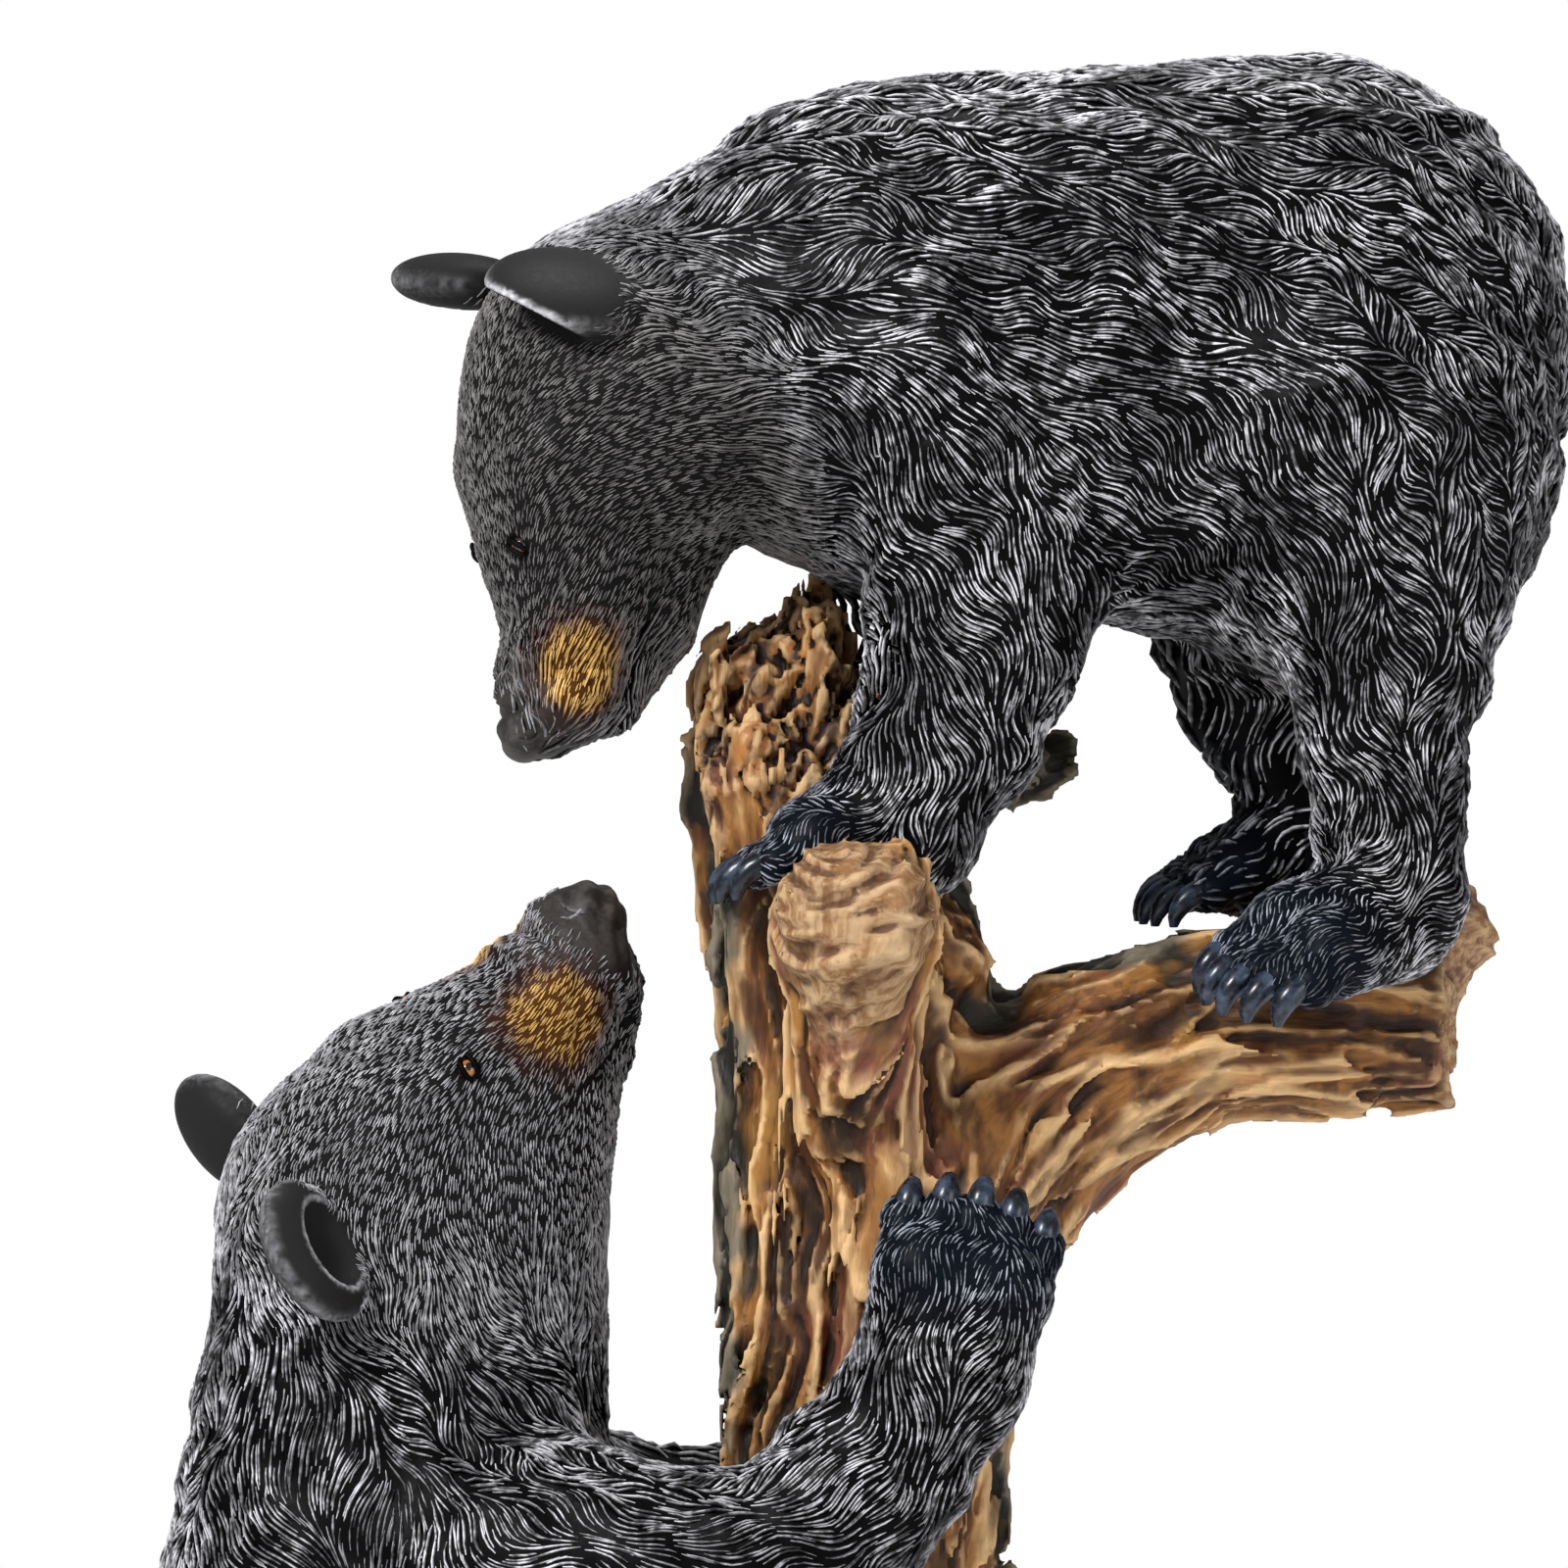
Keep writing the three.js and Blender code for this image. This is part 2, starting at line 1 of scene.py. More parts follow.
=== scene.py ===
import itertools
import math
from collections import namedtuple

import bmesh
import bpy
import numpy as np
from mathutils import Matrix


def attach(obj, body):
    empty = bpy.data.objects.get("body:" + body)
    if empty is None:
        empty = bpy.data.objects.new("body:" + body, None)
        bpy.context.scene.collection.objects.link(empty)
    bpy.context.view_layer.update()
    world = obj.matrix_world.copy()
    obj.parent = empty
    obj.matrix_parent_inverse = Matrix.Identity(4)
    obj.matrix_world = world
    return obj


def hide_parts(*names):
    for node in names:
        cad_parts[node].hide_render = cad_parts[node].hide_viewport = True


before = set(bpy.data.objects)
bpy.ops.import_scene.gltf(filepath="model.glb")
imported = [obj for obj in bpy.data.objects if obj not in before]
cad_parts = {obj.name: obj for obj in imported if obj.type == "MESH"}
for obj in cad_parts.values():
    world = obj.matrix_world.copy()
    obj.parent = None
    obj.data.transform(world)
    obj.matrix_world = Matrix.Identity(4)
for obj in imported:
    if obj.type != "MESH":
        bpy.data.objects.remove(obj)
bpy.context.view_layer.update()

NODE = "climbing_bears_casting"
MM = 0.001

# Grid sizes of the carved skins, in mm
BODY_CELL = 2.8
HEAD_CELL = 0.9
NOSE_CELL = 0.6
PAW_CELL = 1.1
WOOD_CELL = 1.0
FOOT_CELL = 2.4

# Each kind of carved hair: seeds, spacing, step, steps each way, fewest and most points, and girth, in mm
NEAR_COAT = (100000, 1.12, 2.0, 5, 4, 9, 0.58)
BACK_COAT = (30000, 2.6, 2.6, 5, 4, 8, 1.0)
FACE_HAIR = (230000, 0.65, 1.15, 1, 3, 3, 0.35)
FAR_FACE_HAIR = (90000, 1.0, 1.5, 1, 3, 3, 0.42)
PAW_HAIR = (14000, 1.05, 1.5, 3, 3, 6, 0.44)
FAR_PAW_HAIR = (5000, 2.0, 1.5, 3, 3, 6, 0.8)

# How far hair is lifted off the skin, as a share of its girth, and the length of its waves, in mm
COAT_LIFT = 0.12
FACE_LIFT = 0.08
HAIR_WAVE = 14

# How far from the head the hair of the face ends, the coat starts, and the neck is cut, in mm
FACE_REACH = 47
COAT_START = 44
CLIP_REACH = 87

# How far skins overlap at a neck and at a wrist, and the height where the lengths of the tree meet, in mm
NECK_OVERLAP = 1.5
WRIST_OVERLAP = 2.5
TREE_JOINT = 240
TREE_OVERLAP = 3

# Middle of the nose in a head's axes, and the balls that part its skin from the head's
NOSE_SPOT = (73.5, 0, 7.5)
NOSE_BALL = 8.8
NOSE_GAP = 7.6


# Solid forms

def vec(*numbers):
    return np.array(numbers, float)


def unit(v):
    v = np.asarray(v, float)
    return v / np.linalg.norm(v)


def gap_to(p, spot):
    """Distance from each point to a spot."""
    return np.linalg.norm(p - spot, axis=1)


def grid_gap(x, y, z, spot):
    """Distance from each place of a grid to a spot."""
    return np.sqrt((x - spot[0]) ** 2 + (y - spot[1]) ** 2 + (z - spot[2]) ** 2)


def past_plane(x, y, z, point, way):
    """How far each place of a grid lies beyond a plane."""
    return (x - point[0]) * way[0] + (y - point[1]) * way[1] + (z - point[2]) * way[2]


def soft_min(a, b, blend):
    """The smaller of two distances, rounded off where they are nearly the same."""
    if blend <= 0:
        return np.minimum(a, b)
    h = np.maximum(blend - np.abs(a - b), 0) / blend
    return np.minimum(a, b) - h * h * (blend * 0.25)


def smooth(value, low, high):
    """From 0 at low to 1 at high, levelling off at both."""
    t = np.clip((value - low) / (high - low), 0, 1)
    return t * t * (3 - 2 * t)


class Chain:
    """Round cones end to end, all squeezed in depth about one plane."""

    def __init__(self, points, flat=1.0, middle=0.0):
        self.points, self.flat, self.middle = np.array(points, float), flat, middle

    def bound(self):
        p, r = self.points[:, :3], self.points[:, 3:]
        return (p - r).min(0), (p + r).max(0)

    def link(self, a, ra, b, rb, x, y, z):
        """Distance to one round cone."""
        ba = b - a
        l2 = ba @ ba
        rr = ra - rb
        a2 = l2 - rr * rr
        px, py, pz = x - a[0], y - a[1], z - a[2]
        yy = px * ba[0] + py * ba[1] + pz * ba[2]
        zz = yy - l2
        x2 = np.maximum((px * px + py * py + pz * pz) * (l2 * l2) - yy * yy * l2, 0)
        k = np.sign(rr) * rr * rr * x2
        d = (np.sqrt(x2 * (a2 / l2)) + yy * rr) / l2 - ra
        low = np.sign(yy) * a2 * yy * yy * l2 < k
        high = np.sign(zz) * a2 * zz * zz * l2 > k
        d = np.where(low, np.sqrt(x2 + yy * yy * l2) / l2 - ra, d)
        return np.where(high, np.sqrt(x2 + zz * zz * l2) / l2 - rb, d)

    def distance(self, x, y, z):
        y = (y - self.middle) / self.flat + self.middle
        spots = self.points[:, :3].copy()
        spots[:, 1] = (spots[:, 1] - self.middle) / self.flat + self.middle
        best = None
        for i in range(len(spots) - 1):
            d = self.link(spots[i], self.points[i, 3], spots[i + 1], self.points[i + 1, 3], x, y, z)
            best = d if best is None else np.minimum(best, d)
        return best * min(1.0, self.flat ** 0.5)


def cone(a, ra, b, rb):
    return Chain([[*a, ra], [*b, rb]])


class Ball:
    """An ellipsoid with its own three axes."""

    def __init__(self, centre, radii, axes=np.eye(3)):
        self.centre, self.radii, self.axes = vec(*centre), vec(*radii), np.array(axes, float)

    def bound(self):
        reach = np.abs(self.axes.T) @ self.radii
        return self.centre - reach, self.centre + reach

    def distance(self, x, y, z):
        px, py, pz = x - self.centre[0], y - self.centre[1], z - self.centre[2]
        near, steep = 0, 0
        for axis, r in zip(self.axes, self.radii):
            q = px * axis[0] + py * axis[1] + pz * axis[2]
            near = near + (q / r) ** 2
            steep = steep + (q / (r * r)) ** 2
        near, steep = np.sqrt(near), np.sqrt(steep)
        return near * (near - 1) / np.maximum(steep, 1e-6)


class Beyond:
    """All that lies past a plane, out to a reach."""

    def __init__(self, point, way, reach):
        self.point, self.way, self.reach = vec(*point), unit(way), reach

    def bound(self):
        return self.point - self.reach, self.point + self.reach

    def distance(self, x, y, z):
        past = -past_plane(x, y, z, self.point, self.way)
        return np.maximum(past, grid_gap(x, y, z, self.point) - self.reach)


class Form:
    """Distances to a growing shape on a regular grid, in mm."""

    def __init__(self, low, high, cell):
        self.low, self.cell = vec(*low), cell
        self.count = np.ceil((vec(*high) - self.low) / cell).astype(int) + 1
        self.axis = [(self.low[i] + cell * np.arange(self.count[i])).astype(np.float32) for i in range(3)]
        self.value = np.full(self.count, 40.0, np.float32)

    def window(self, low, high):
        a = np.clip(np.floor((low - self.low) / self.cell).astype(int), 0, self.count)
        b = np.clip(np.ceil((high - self.low) / self.cell).astype(int) + 1, 0, self.count)
        return tuple(slice(a[i], b[i]) for i in range(3))

    def grid(self, part=(slice(None),) * 3):
        x, y, z = (self.axis[i][part[i]] for i in range(3))
        return x[:, None, None], y[None, :, None], z[None, None, :]

    def put(self, shape, blend, sign):
        low, high = shape.bound()
        part = self.window(low - 12 - blend, high + 12 + blend)
        x, y, z = self.grid(part)
        if x.size * y.size * z.size:
            d = shape.distance(x, y, z).astype(np.float32)
            self.value[part] = sign * soft_min(sign * self.value[part], d, blend)

    def grow(self, shape, blend=0.0):
        self.put(shape, blend, 1)

    def carve(self, shape, blend=0.0):
        self.put(shape, blend, -1)

    def sample(self, p):
        """Distance and outward way at points, from the eight grid values around each."""
        q = (p - self.low) / self.cell
        i = np.clip(np.floor(q).astype(int), 0, self.count - 2)
        f = np.clip(q - i, 0, 1).astype(np.float32)
        flat = self.value.ravel()
        sy, sx = int(self.count[2]), int(self.count[1] * self.count[2])
        base = i[:, 0] * sx + i[:, 1] * sy + i[:, 2]
        c = [[[flat[base + a * sx + b * sy + k] for k in (0, 1)] for b in (0, 1)] for a in (0, 1)]
        fx, fy, fz = f[:, 0], f[:, 1], f[:, 2]
        line = [[c[a][b][0] * (1 - fz) + c[a][b][1] * fz for b in (0, 1)] for a in (0, 1)]
        face = [line[a][0] * (1 - fy) + line[a][1] * fy for a in (0, 1)]
        gx = face[1] - face[0]
        gy = (line[0][1] - line[0][0]) * (1 - fx) + (line[1][1] - line[1][0]) * fx
        rise = [[c[a][b][1] - c[a][b][0] for b in (0, 1)] for a in (0, 1)]
        near, far = [rise[a][0] * (1 - fy) + rise[a][1] * fy for a in (0, 1)]
        gz = near * (1 - fx) + far * fx
        way = np.stack([gx, gy, gz], 1)
        way /= np.maximum(np.linalg.norm(way, axis=1), 1e-6)[:, None]
        return face[0] * (1 - fx) + face[1] * fx, way

    def clear_edges(self):
        """Keeps the outermost layer empty, so that every skin closes."""
        for axis in range(3):
            for end in (0, -1):
                side = [slice(None)] * 3
                side[axis] = end
                self.value[tuple(side)] = np.maximum(self.value[tuple(side)], 0.5)


def skin(form):
    """The surface of a form as points and four-sided faces that look outwards."""
    form.clear_edges()
    v = form.value
    inside = v < 0
    corners = list(itertools.product((0, 1), repeat=3))
    n = [m - 1 for m in v.shape]
    filled = sum(inside[a:a + n[0], b:b + n[1], c:c + n[2]].astype(np.uint8) for a, b, c in corners)
    mixed = (filled > 0) & (filled < 8)
    cells = np.argwhere(mixed)
    index = np.full(mixed.shape, -1, np.int64)
    index[mixed] = np.arange(len(cells))
    at = {c: v[cells[:, 0] + c[0], cells[:, 1] + c[1], cells[:, 2] + c[2]] for c in corners}
    total, hits = np.zeros((len(cells), 3)), np.zeros(len(cells))
    for a in corners:
        for axis in range(3):
            if a[axis] == 0:
                b = tuple(1 if i == axis else a[i] for i in range(3))
                crossed = (at[a] < 0) != (at[b] < 0)
                t = np.where(crossed, at[a] / np.where(crossed, at[a] - at[b], 1), 0)
                spot = np.tile(np.array(a, float), (len(cells), 1))
                spot[:, axis] = t
                total += spot * crossed[:, None]
                hits += crossed
    points = form.low + form.cell * (cells + total / hits[:, None])
    faces = []
    for axis in range(3):
        u, w = (axis + 1) % 3, (axis + 2) % 3
        here = [slice(1, m - 1) for m in v.shape]
        there = list(here)
        here[axis], there[axis] = slice(0, v.shape[axis] - 1), slice(1, v.shape[axis])
        first, second = inside[tuple(here)], inside[tuple(there)]
        for side in (True, False):
            edge = np.argwhere((first == side) & (second != side))
            edge[:, u] += 1
            edge[:, w] += 1
            ring = []
            for du, dw in ((-1, -1), (0, -1), (0, 0), (-1, 0)):
                c = edge.copy()
                c[:, u] += du
                c[:, w] += dw
                ring.append(index[c[:, 0], c[:, 1], c[:, 2]])
            ring = np.stack(ring, 1)
            faces.append(ring if side else ring[:, ::-1])
    return points, np.concatenate(faces)


def no_marks(points):
    return {}


def convexity_of(points, faces):
    """How far each point stands out from its neighbours, in mm: ridges above 0, creases below."""
    a = faces.ravel()
    b = np.roll(faces, -1, axis=1).ravel()
    a, b = np.concatenate([a, b]), np.concatenate([b, a])
    count = np.bincount(a, minlength=len(points))[:, None]
    smoothed = points
    for _ in range(2):
        smoothed = np.stack([np.bincount(a, smoothed[b, i], len(points)) for i in range(3)], 1) / count
    corner = points[faces]
    cross = np.cross(corner[:, 2] - corner[:, 0], corner[:, 3] - corner[:, 1])
    way = np.stack([np.bincount(faces.ravel(), np.repeat(cross[:, i], 4), len(points)) for i in range(3)], 1)
    way /= np.maximum(np.linalg.norm(way, axis=1), 1e-9)[:, None]
    return ((points - smoothed) * way).sum(1)


# The two cubs

class Head:
    """A head's own axes: forward, left and up from the middle of the skull."""

    def __init__(self, origin, forward, left):
        self.origin, self.forward = vec(*origin), unit(forward)
        self.left = unit(vec(*left) - (vec(*left) @ self.forward) * self.forward)
        self.up = np.cross(self.forward, self.left)
        self.axes = np.array([self.forward, self.left, self.up])

    def at(self, f, l, u):
        return self.origin + self.forward * f + self.left * l + self.up * u

    def local(self, p):
        return (p - self.origin) @ self.axes.T

    def other_side(self, p):
        f, l, u = self.local(p)
        return self.at(f, -l, u)


UPPER_HEAD = Head((-50, -7, 511), (-0.13, -0.08, -0.99), (0.36, -0.93, 0))
LOWER_HEAD = Head((-94.6, -3, 344.6), (0.62, -0.06, 0.78), (-0.41, 0.80, 0.45))

Paw = namedtuple("Paw", "wrist tip top wrist_radius pad_radius width toe")
UPPER_PAWS = [
    Paw((9, -23, 421), (-19, -26, 416), (-0.3, 0, 1), 14, 10.5, 20, 5),
    Paw((3, 25, 426), (-14, 27, 424), (-0.3, 0, 1), 13, 9, 20, 5),
    Paw((107, -21, 404), (82, -36, 395), (0.15, -0.2, 1), 13, 10.5, 24, 5.3),
    Paw((91, 23, 414), (69, 16, 410.5), (0, -0.1, 1), 11, 8.5, 18, 4.8),
]
LOWER_FEET = [
    Paw((-26, -43, 116), (-2, -46, 112), (0, -1, 0.2), 12, 9, 20, 5),
    Paw((-26, 43, 116), (-2, 46, 112), (0, 1, 0.2), 12, 9, 20, 5),
]
LOWER_HANDS = [
    Paw((17, -40, 314), (23, -44, 340), (0, -1, 0), 15, 12, 25, 5.5),
    Paw((17, 40, 312), (20, 44, 336), (0, 1, 0), 15, 12, 25, 5.5),
]

# The hollow of an ear opens towards a side and leans a little; a trim cuts the ear off along a plane
Ear = namedtuple("Ear", "root tip hollow width lean trim")
UPPER_EARS = [
    Ear((-45, -24, 530), (-73, -41, 528), (-0.1, 0.55, -0.83), 15, (0, 0, 0),
        ((-61, 0, 522.5), (-0.467, 0, -0.885))),
    Ear((-70, 14, 532), (-95, 22, 534.5), (-0.1, 0.2, -1), 9, (0, 0, 0), None),
]
LOWER_EARS = [
    Ear((-104, -30, 338), (-116, -50, 334), (0.75, -0.49, 0.45), 15.5, (2.6, 2.2, 0.6), None),
    Ear((-122, 14, 350), (-138.5, 22, 368), (0.5, 0.8, 0.3), 9.5, (0, 0, 0), None),
]


def grow_head(form, head):
    """Skull, cheeks, muzzle, brows, jaw and nose."""
    def bone(a, ra, b, rb, blend):
        form.grow(cone(head.at(*a), ra, head.at(*b), rb), blend)
    form.grow(Ball(head.at(3, 0, -1.6), (31, 32, 29), head.axes), 10)
    for side in (-1, 1):
        form.grow(Ball(head.at(5, side * 17, -7), (24, 18, 21), head.axes), 8)
    bone((15, 0, 5), 23, (35, 0, 3.8), 18.3, 8)
    for side in (-1, 1):
        bone((36, side * 4, 2.4), 14.6, (63.5, side * 3.6, 3.2), 10.6, 4)
        bone((30, side * 9, 12), 9, (20, side * 14, 17), 8, 6)
    bone((24, 0, -15), 15, (48, 0, -12.5), 9.8, 5)
    bone((48, 0, -12.5), 9.8, (64, 0, -7.5), 7, 4)
    bone((57, 0, 3.6), 11.2, (69, 0, 5.4), 8.6, 2.5)
    form.grow(Ball(head.at(71, 0, 6.8), (6, 7.2, 7), head.axes), 3)


def ear_axes(ear):
    """Length of an ear, its own axes (out, across and into the hollow), and its root."""
    root, hollow = vec(*ear.root), vec(*ear.hollow)
    reach = vec(*ear.tip) - root
    out = unit(reach)
    opening = unit(hollow - (hollow @ out) * out)
    return np.linalg.norm(reach), np.array([out, np.cross(out, opening), opening]), root


def grow_ear(form, ear):
    """A flat flap with a hollow in one side."""
    length, axes, root = ear_axes(ear)
    out, _, opening = axes
    centre = root + out * length * 0.45
    flap = Form(form.low, form.low + (form.count - 1.5) * form.cell, form.cell)
    flap.grow(Ball(centre, (length * 0.58, ear.width, 6), axes))
    pocket = centre + out * length * 0.06 + opening * 6.5 + vec(*ear.lean)
    flap.carve(Ball(pocket, (length * 0.38, ear.width - 5.0, 7.6), axes), 0.8)
    if ear.trim:
        flap.carve(Beyond(*ear.trim, 70), 0.6)
    form.value = soft_min(form.value, flap.value, 2.0)


def paw_frame(paw):
    """Ways along, across and up a paw, its length, and root and end of each of its five toes."""
    wrist, tip = vec(*paw.wrist), vec(*paw.tip)
    way = unit(tip - wrist)
    side = unit(np.cross(unit(paw.top), way))
    up = np.cross(way, side)
    length = np.linalg.norm(tip - wrist)
    toes = []
    for i in range(5):
        spread = i / 4 - 0.5
        root = wrist + way * length * 0.62 + side * spread * paw.width * 0.9
        end = wrist + way * length * (1 - 0.5 * spread ** 2)
        end = end + side * spread * paw.width * 1.12 - up * paw.pad_radius * 0.35
        toes.append((root, end))
    return way, side, up, length, toes


def grow_paw(form, paw):
    """Two pads side by side and five toes."""
    way, side, up, length, toes = paw_frame(paw)
    for half in (-0.28, 0.28):
        pad = vec(*paw.wrist) + way * length * 0.62 + side * half * paw.width
        form.grow(cone(paw.wrist, paw.wrist_radius, pad, paw.pad_radius - 0.5), 5)
    for root, end in toes:
        form.grow(cone(root + up * 1.0, paw.toe * 0.85, end + way * 2.6 + up * 1.2, paw.toe * 0.88), 1.4)


def comb_locks(form, along, centre, head):
    """Wavy locks that run along the body and hang down its sides; the head stays smooth."""
    along = unit(along)
    down = vec(0, 0, -1)
    slope = unit(down - (down @ along) * along)
    x, y, z = form.grid()
    px, py, pz = x - centre[0], y - centre[1], z - centre[2]
    s = px * along[0] + py * along[1] + pz * along[2]
    t = px * slope[0] + py * slope[1] + pz * slope[2] + 0.45 * np.abs(py)
    bend = 5 * np.sin(s * 2 * np.pi / 52 + t * 0.03)
    lock = np.sin((t + bend + 0.35 * s) * 2 * np.pi / 19)
    fine = np.sin(t * 0.9 + 2.1 * np.sin(s * 0.21 + 1.7 * np.sin(t * 0.13)))
    fine = fine * np.sin(s * 0.33 + 1.9 * np.sin(t * 0.17))
    ends = 0.6 + 0.4 * np.sin(s * 2 * np.pi / 31 + t * 0.11)
    away = smooth(grid_gap(x, y, z, head.origin), 38, 62)
    form.value -= (away * (1.1 * lock * ends + 0.7 * fine)).astype(np.float32)


def grow_limbs(form, limbs):
    """Limbs of points with radii, each with its squeeze in depth, the plane of that, and a blend."""
    for points, flat, middle, blend in limbs:
        form.grow(Chain(points, flat, middle), blend)


def grow_ends(form, paws, ears):
    for paw in paws:
        grow_paw(form, paw)
    for ear in ears:
        grow_ear(form, ear)


def upper_cub(form, fine=False):
    """The cub that stands on the branch; its ears come in fine forms only."""
    barrel = [[8, 0, 521.5, 50], [60, 0, 519.5, 57.3], [91, 0, 524, 54]]
    neck = [[8, 0, 523.5, 47.5], [-20, -2, 520.5, 37.5], [-46, -6, 514, 31.5]]
    rump = [[97.5, 0, 504, 45.5], [97.5, 0, 496, 45.5]]
    near_arm = [[22, -22, 512, 32], [27, -23, 488, 28], [25, -23, 466, 23], [20, -23, 446, 19.5],
                [12, -23, 430, 16.5]]
    far_arm = [[18, 20, 510, 30], [16, 22, 488, 26], [12, 24, 466, 20], [8, 25, 446, 17], [5, 25, 432, 15]]
    near_leg = [[101, -20, 502, 37], [107, -22, 465, 24], [106, -23, 445, 18], [107, -23, 428, 15.5],
                [109, -22, 412, 14]]
    far_leg = [[88, 20, 496, 38], [84, 22, 466, 23], [83, 22, 448, 16.5], [90, 23, 430, 12.5],
               [92, 23, 418, 12]]
    grow_limbs(form, [(barrel, 0.76, 0, 9), (neck, 0.85, 0, 8), (rump, 0.8, 0, 8), (near_arm, 0.82, -22, 9),
                      (far_arm, 0.82, 20, 9), (near_leg, 0.85, -22, 9), (far_leg, 0.85, 22, 9)])
    grow_head(form, UPPER_HEAD)
    comb_locks(form, (1, 0, -0.25), (40, 0, 520), UPPER_HEAD)
    grow_ends(form, UPPER_PAWS, UPPER_EARS if fine else [])


def lower_cub(form, fine=False):
    """The cub that climbs the trunk; its ears come in fine forms only."""
    spine = [[-95.5, -2, 340, 35], [-92.5, -1, 316, 39], [-94.5, 0, 290, 42.5], [-92, 0, 255, 52.5],
             [-86, 0, 205, 56], [-78, 0, 158, 51]]
    grow_limbs(form, [(spine, 0.8, 0, 8)])
    for side in (-1, 1):
        arm = [[-66, side * 24, 268, 31], [-40, side * 33, 266, 26], [-15, side * 38, 271, 21.5],
               [4, side * 39, 293, 18], [16, side * 40, 311, 17]]
        leg = [[-72, side * 26, 158, 36], [-40, side * 40, 172, 22], [-28, side * 43, 150, 17],
               [-28, side * 43, 122, 13]]
        grow_limbs(form, [(arm, 0.9, side * 38, 8), (leg, 0.9, side * 40, 8)])
    grow_head(form, LOWER_HEAD)
    form.grow(cone((-69, -4, 360), 19, (-74, -3, 322), 20), 10)
    comb_locks(form, (0.15, 0, -1), (-90, 0, 240), LOWER_HEAD)
    grow_ends(form, LOWER_FEET + LOWER_HANDS, LOWER_EARS if fine else [])


def from_front(form, x, z):
    """The point of a form that the camera sees at this place of the plane y = 0."""
    eye = vec(-15, -2400, 430)
    way = unit(vec(x, 0, z) - eye)
    steps = np.linspace(2300, 2480, 721)
    p = eye + way * steps[:, None]
    d, out = form.sample(p)
    hit = int(np.argmax(d < 0))
    return p[hit], out[hit]


# The tree

TRUNK = np.array([[0, 0, 50, 40], [0, 0, 120, 33], [2, 0, 200, 28], [3, 0, 270, 26], [1, 0, 320, 26.5],
                  [1, 0, 380, 26], [-6, 2, 415, 24], [-16, 5, 446, 17]], float)
BRANCH = [[14, 0, 346, 27], [46, 2, 371, 22], [70, 4, 381, 20], [126, 4, 381, 17.5]]
REAR_STUB = [[104, 12, 390, 17], [120, 17, 400, 11.5]]
FRONT_STUB = [[0, -10, 398, 16], [-1, -66, 407, 15.5]]
DARK_STUB = [[8, 8, 427, 8.2], [40.5, 12, 434.5, 6.6]]


def trunk_at(z):
    """Middle and radius of the trunk at a height."""
    return [np.interp(z, TRUNK[:, 2], TRUNK[:, i]) for i in (0, 1, 3)]


def roots():
    for i in range(7):
        turn = i * 2 * math.pi / 7 + 0.35
        c, s = math.cos(turn), math.sin(turn)
        yield [[24 * c, 22 * s, 70, 24], [50 * c, 44 * s, 30, 17], [84 * c, 72 * s, 12, 11]]


def tree(form):
    """The branch, the stubs, the ridged trunk with its broken top, the roots and the base."""
    form.grow(Chain(BRANCH), 8)
    form.carve(Beyond((121, 0, 381), (1, -0.12, 0.05), 60), 2)
    form.grow(Chain(REAR_STUB), 4)
    form.grow(Chain(FRONT_STUB), 6)
    form.carve(Beyond((-1, -61, 406), (0.05, -1, -0.05), 45), 9)
    form.carve(Beyond((-2, -52, 417.5), (0.06, -0.5, 0.86), 30), 3)
    form.grow(Chain([[-1, -40, 397, 14], [-2, -24, 362, 11]]), 8)
    form.grow(Chain(TRUNK), 8)
    for i in range(13):
        ridge = []
        for z in range(46, 441, 13):
            x, y, r = trunk_at(z)
            turn = i * 2 * math.pi / 13 + 0.9 * z / 440 + 0.16 * math.sin(z / 38 + i * 2.3)
            swell = 6 * (1 + 0.25 * math.sin(z / 29 + i * 1.7))
            ridge.append([x + (r - 2.6) * math.cos(turn), y + (r - 2.6) * math.sin(turn), z, swell])
        form.grow(Chain(ridge), 3)
    for i in range(22):
        turn, r = i * 2.4, 4.2 * math.sqrt(i + 0.5)
        x, y = -19 + r * math.cos(turn) * 0.78, 4 + r * math.sin(turn)
        top = 452 + 15 * smooth(x, -20, -9) + 4.5 * math.sin(i * 1.7)
        form.grow(cone((x + 3, y, top - 24), 6.5, (x, y, top), 1.8), 1)
    form.grow(Chain(DARK_STUB), 3)
    for root in roots():
        form.grow(Chain(root), 10)
    form.grow(Ball((0, 0, 6), (98, 84, 15)), 8)


# Noise, and lines that follow a surface

def waves(p, size, seed):
    """Smooth noise from -1 to 1: crossed sines, bent by one another."""
    rng = np.random.default_rng(seed)
    total = 0
    for _ in range(3):
        k = unit(rng.normal(size=3)) * 2 * np.pi / size
        m = unit(rng.normal(size=3)) * 2 * np.pi / (size * 2.3)
        total = total + np.sin(p @ k + 1.6 * np.sin(p @ m + rng.uniform(0, 6)) + rng.uniform(0, 6))
    return total / 3


def scramble(cell):
    """A number from 0 to 1023 for each cell of a lattice."""
    return (cell[:, 0] * 73856093 ^ cell[:, 1] * 19349663 ^ cell[:, 2] * 83492791) & 1023


def lattice_noise(p, seed):
    """Smooth noise from about -1 to 1 with one bump per unit of length."""
    rng = np.random.default_rng(seed)
    ways = rng.normal(size=(1024, 3)).astype(np.float32)
    ways /= np.linalg.norm(ways, axis=1)[:, None]
    cell = np.floor(p).astype(np.int64)
    f = (p - cell).astype(np.float32)
    fade = f * f * f * (f * (f * 6 - 15) + 10)
    total = 0
    for corner in itertools.product((0, 1), repeat=3):
        near = (ways[scramble(cell + corner)] * (f - corner).astype(np.float32)).sum(1)
        share = np.abs(1 - np.array(corner, np.float32) - fade)
        total = total + near * (share[:, 0] * share[:, 1] * share[:, 2])
    return total * 1.5


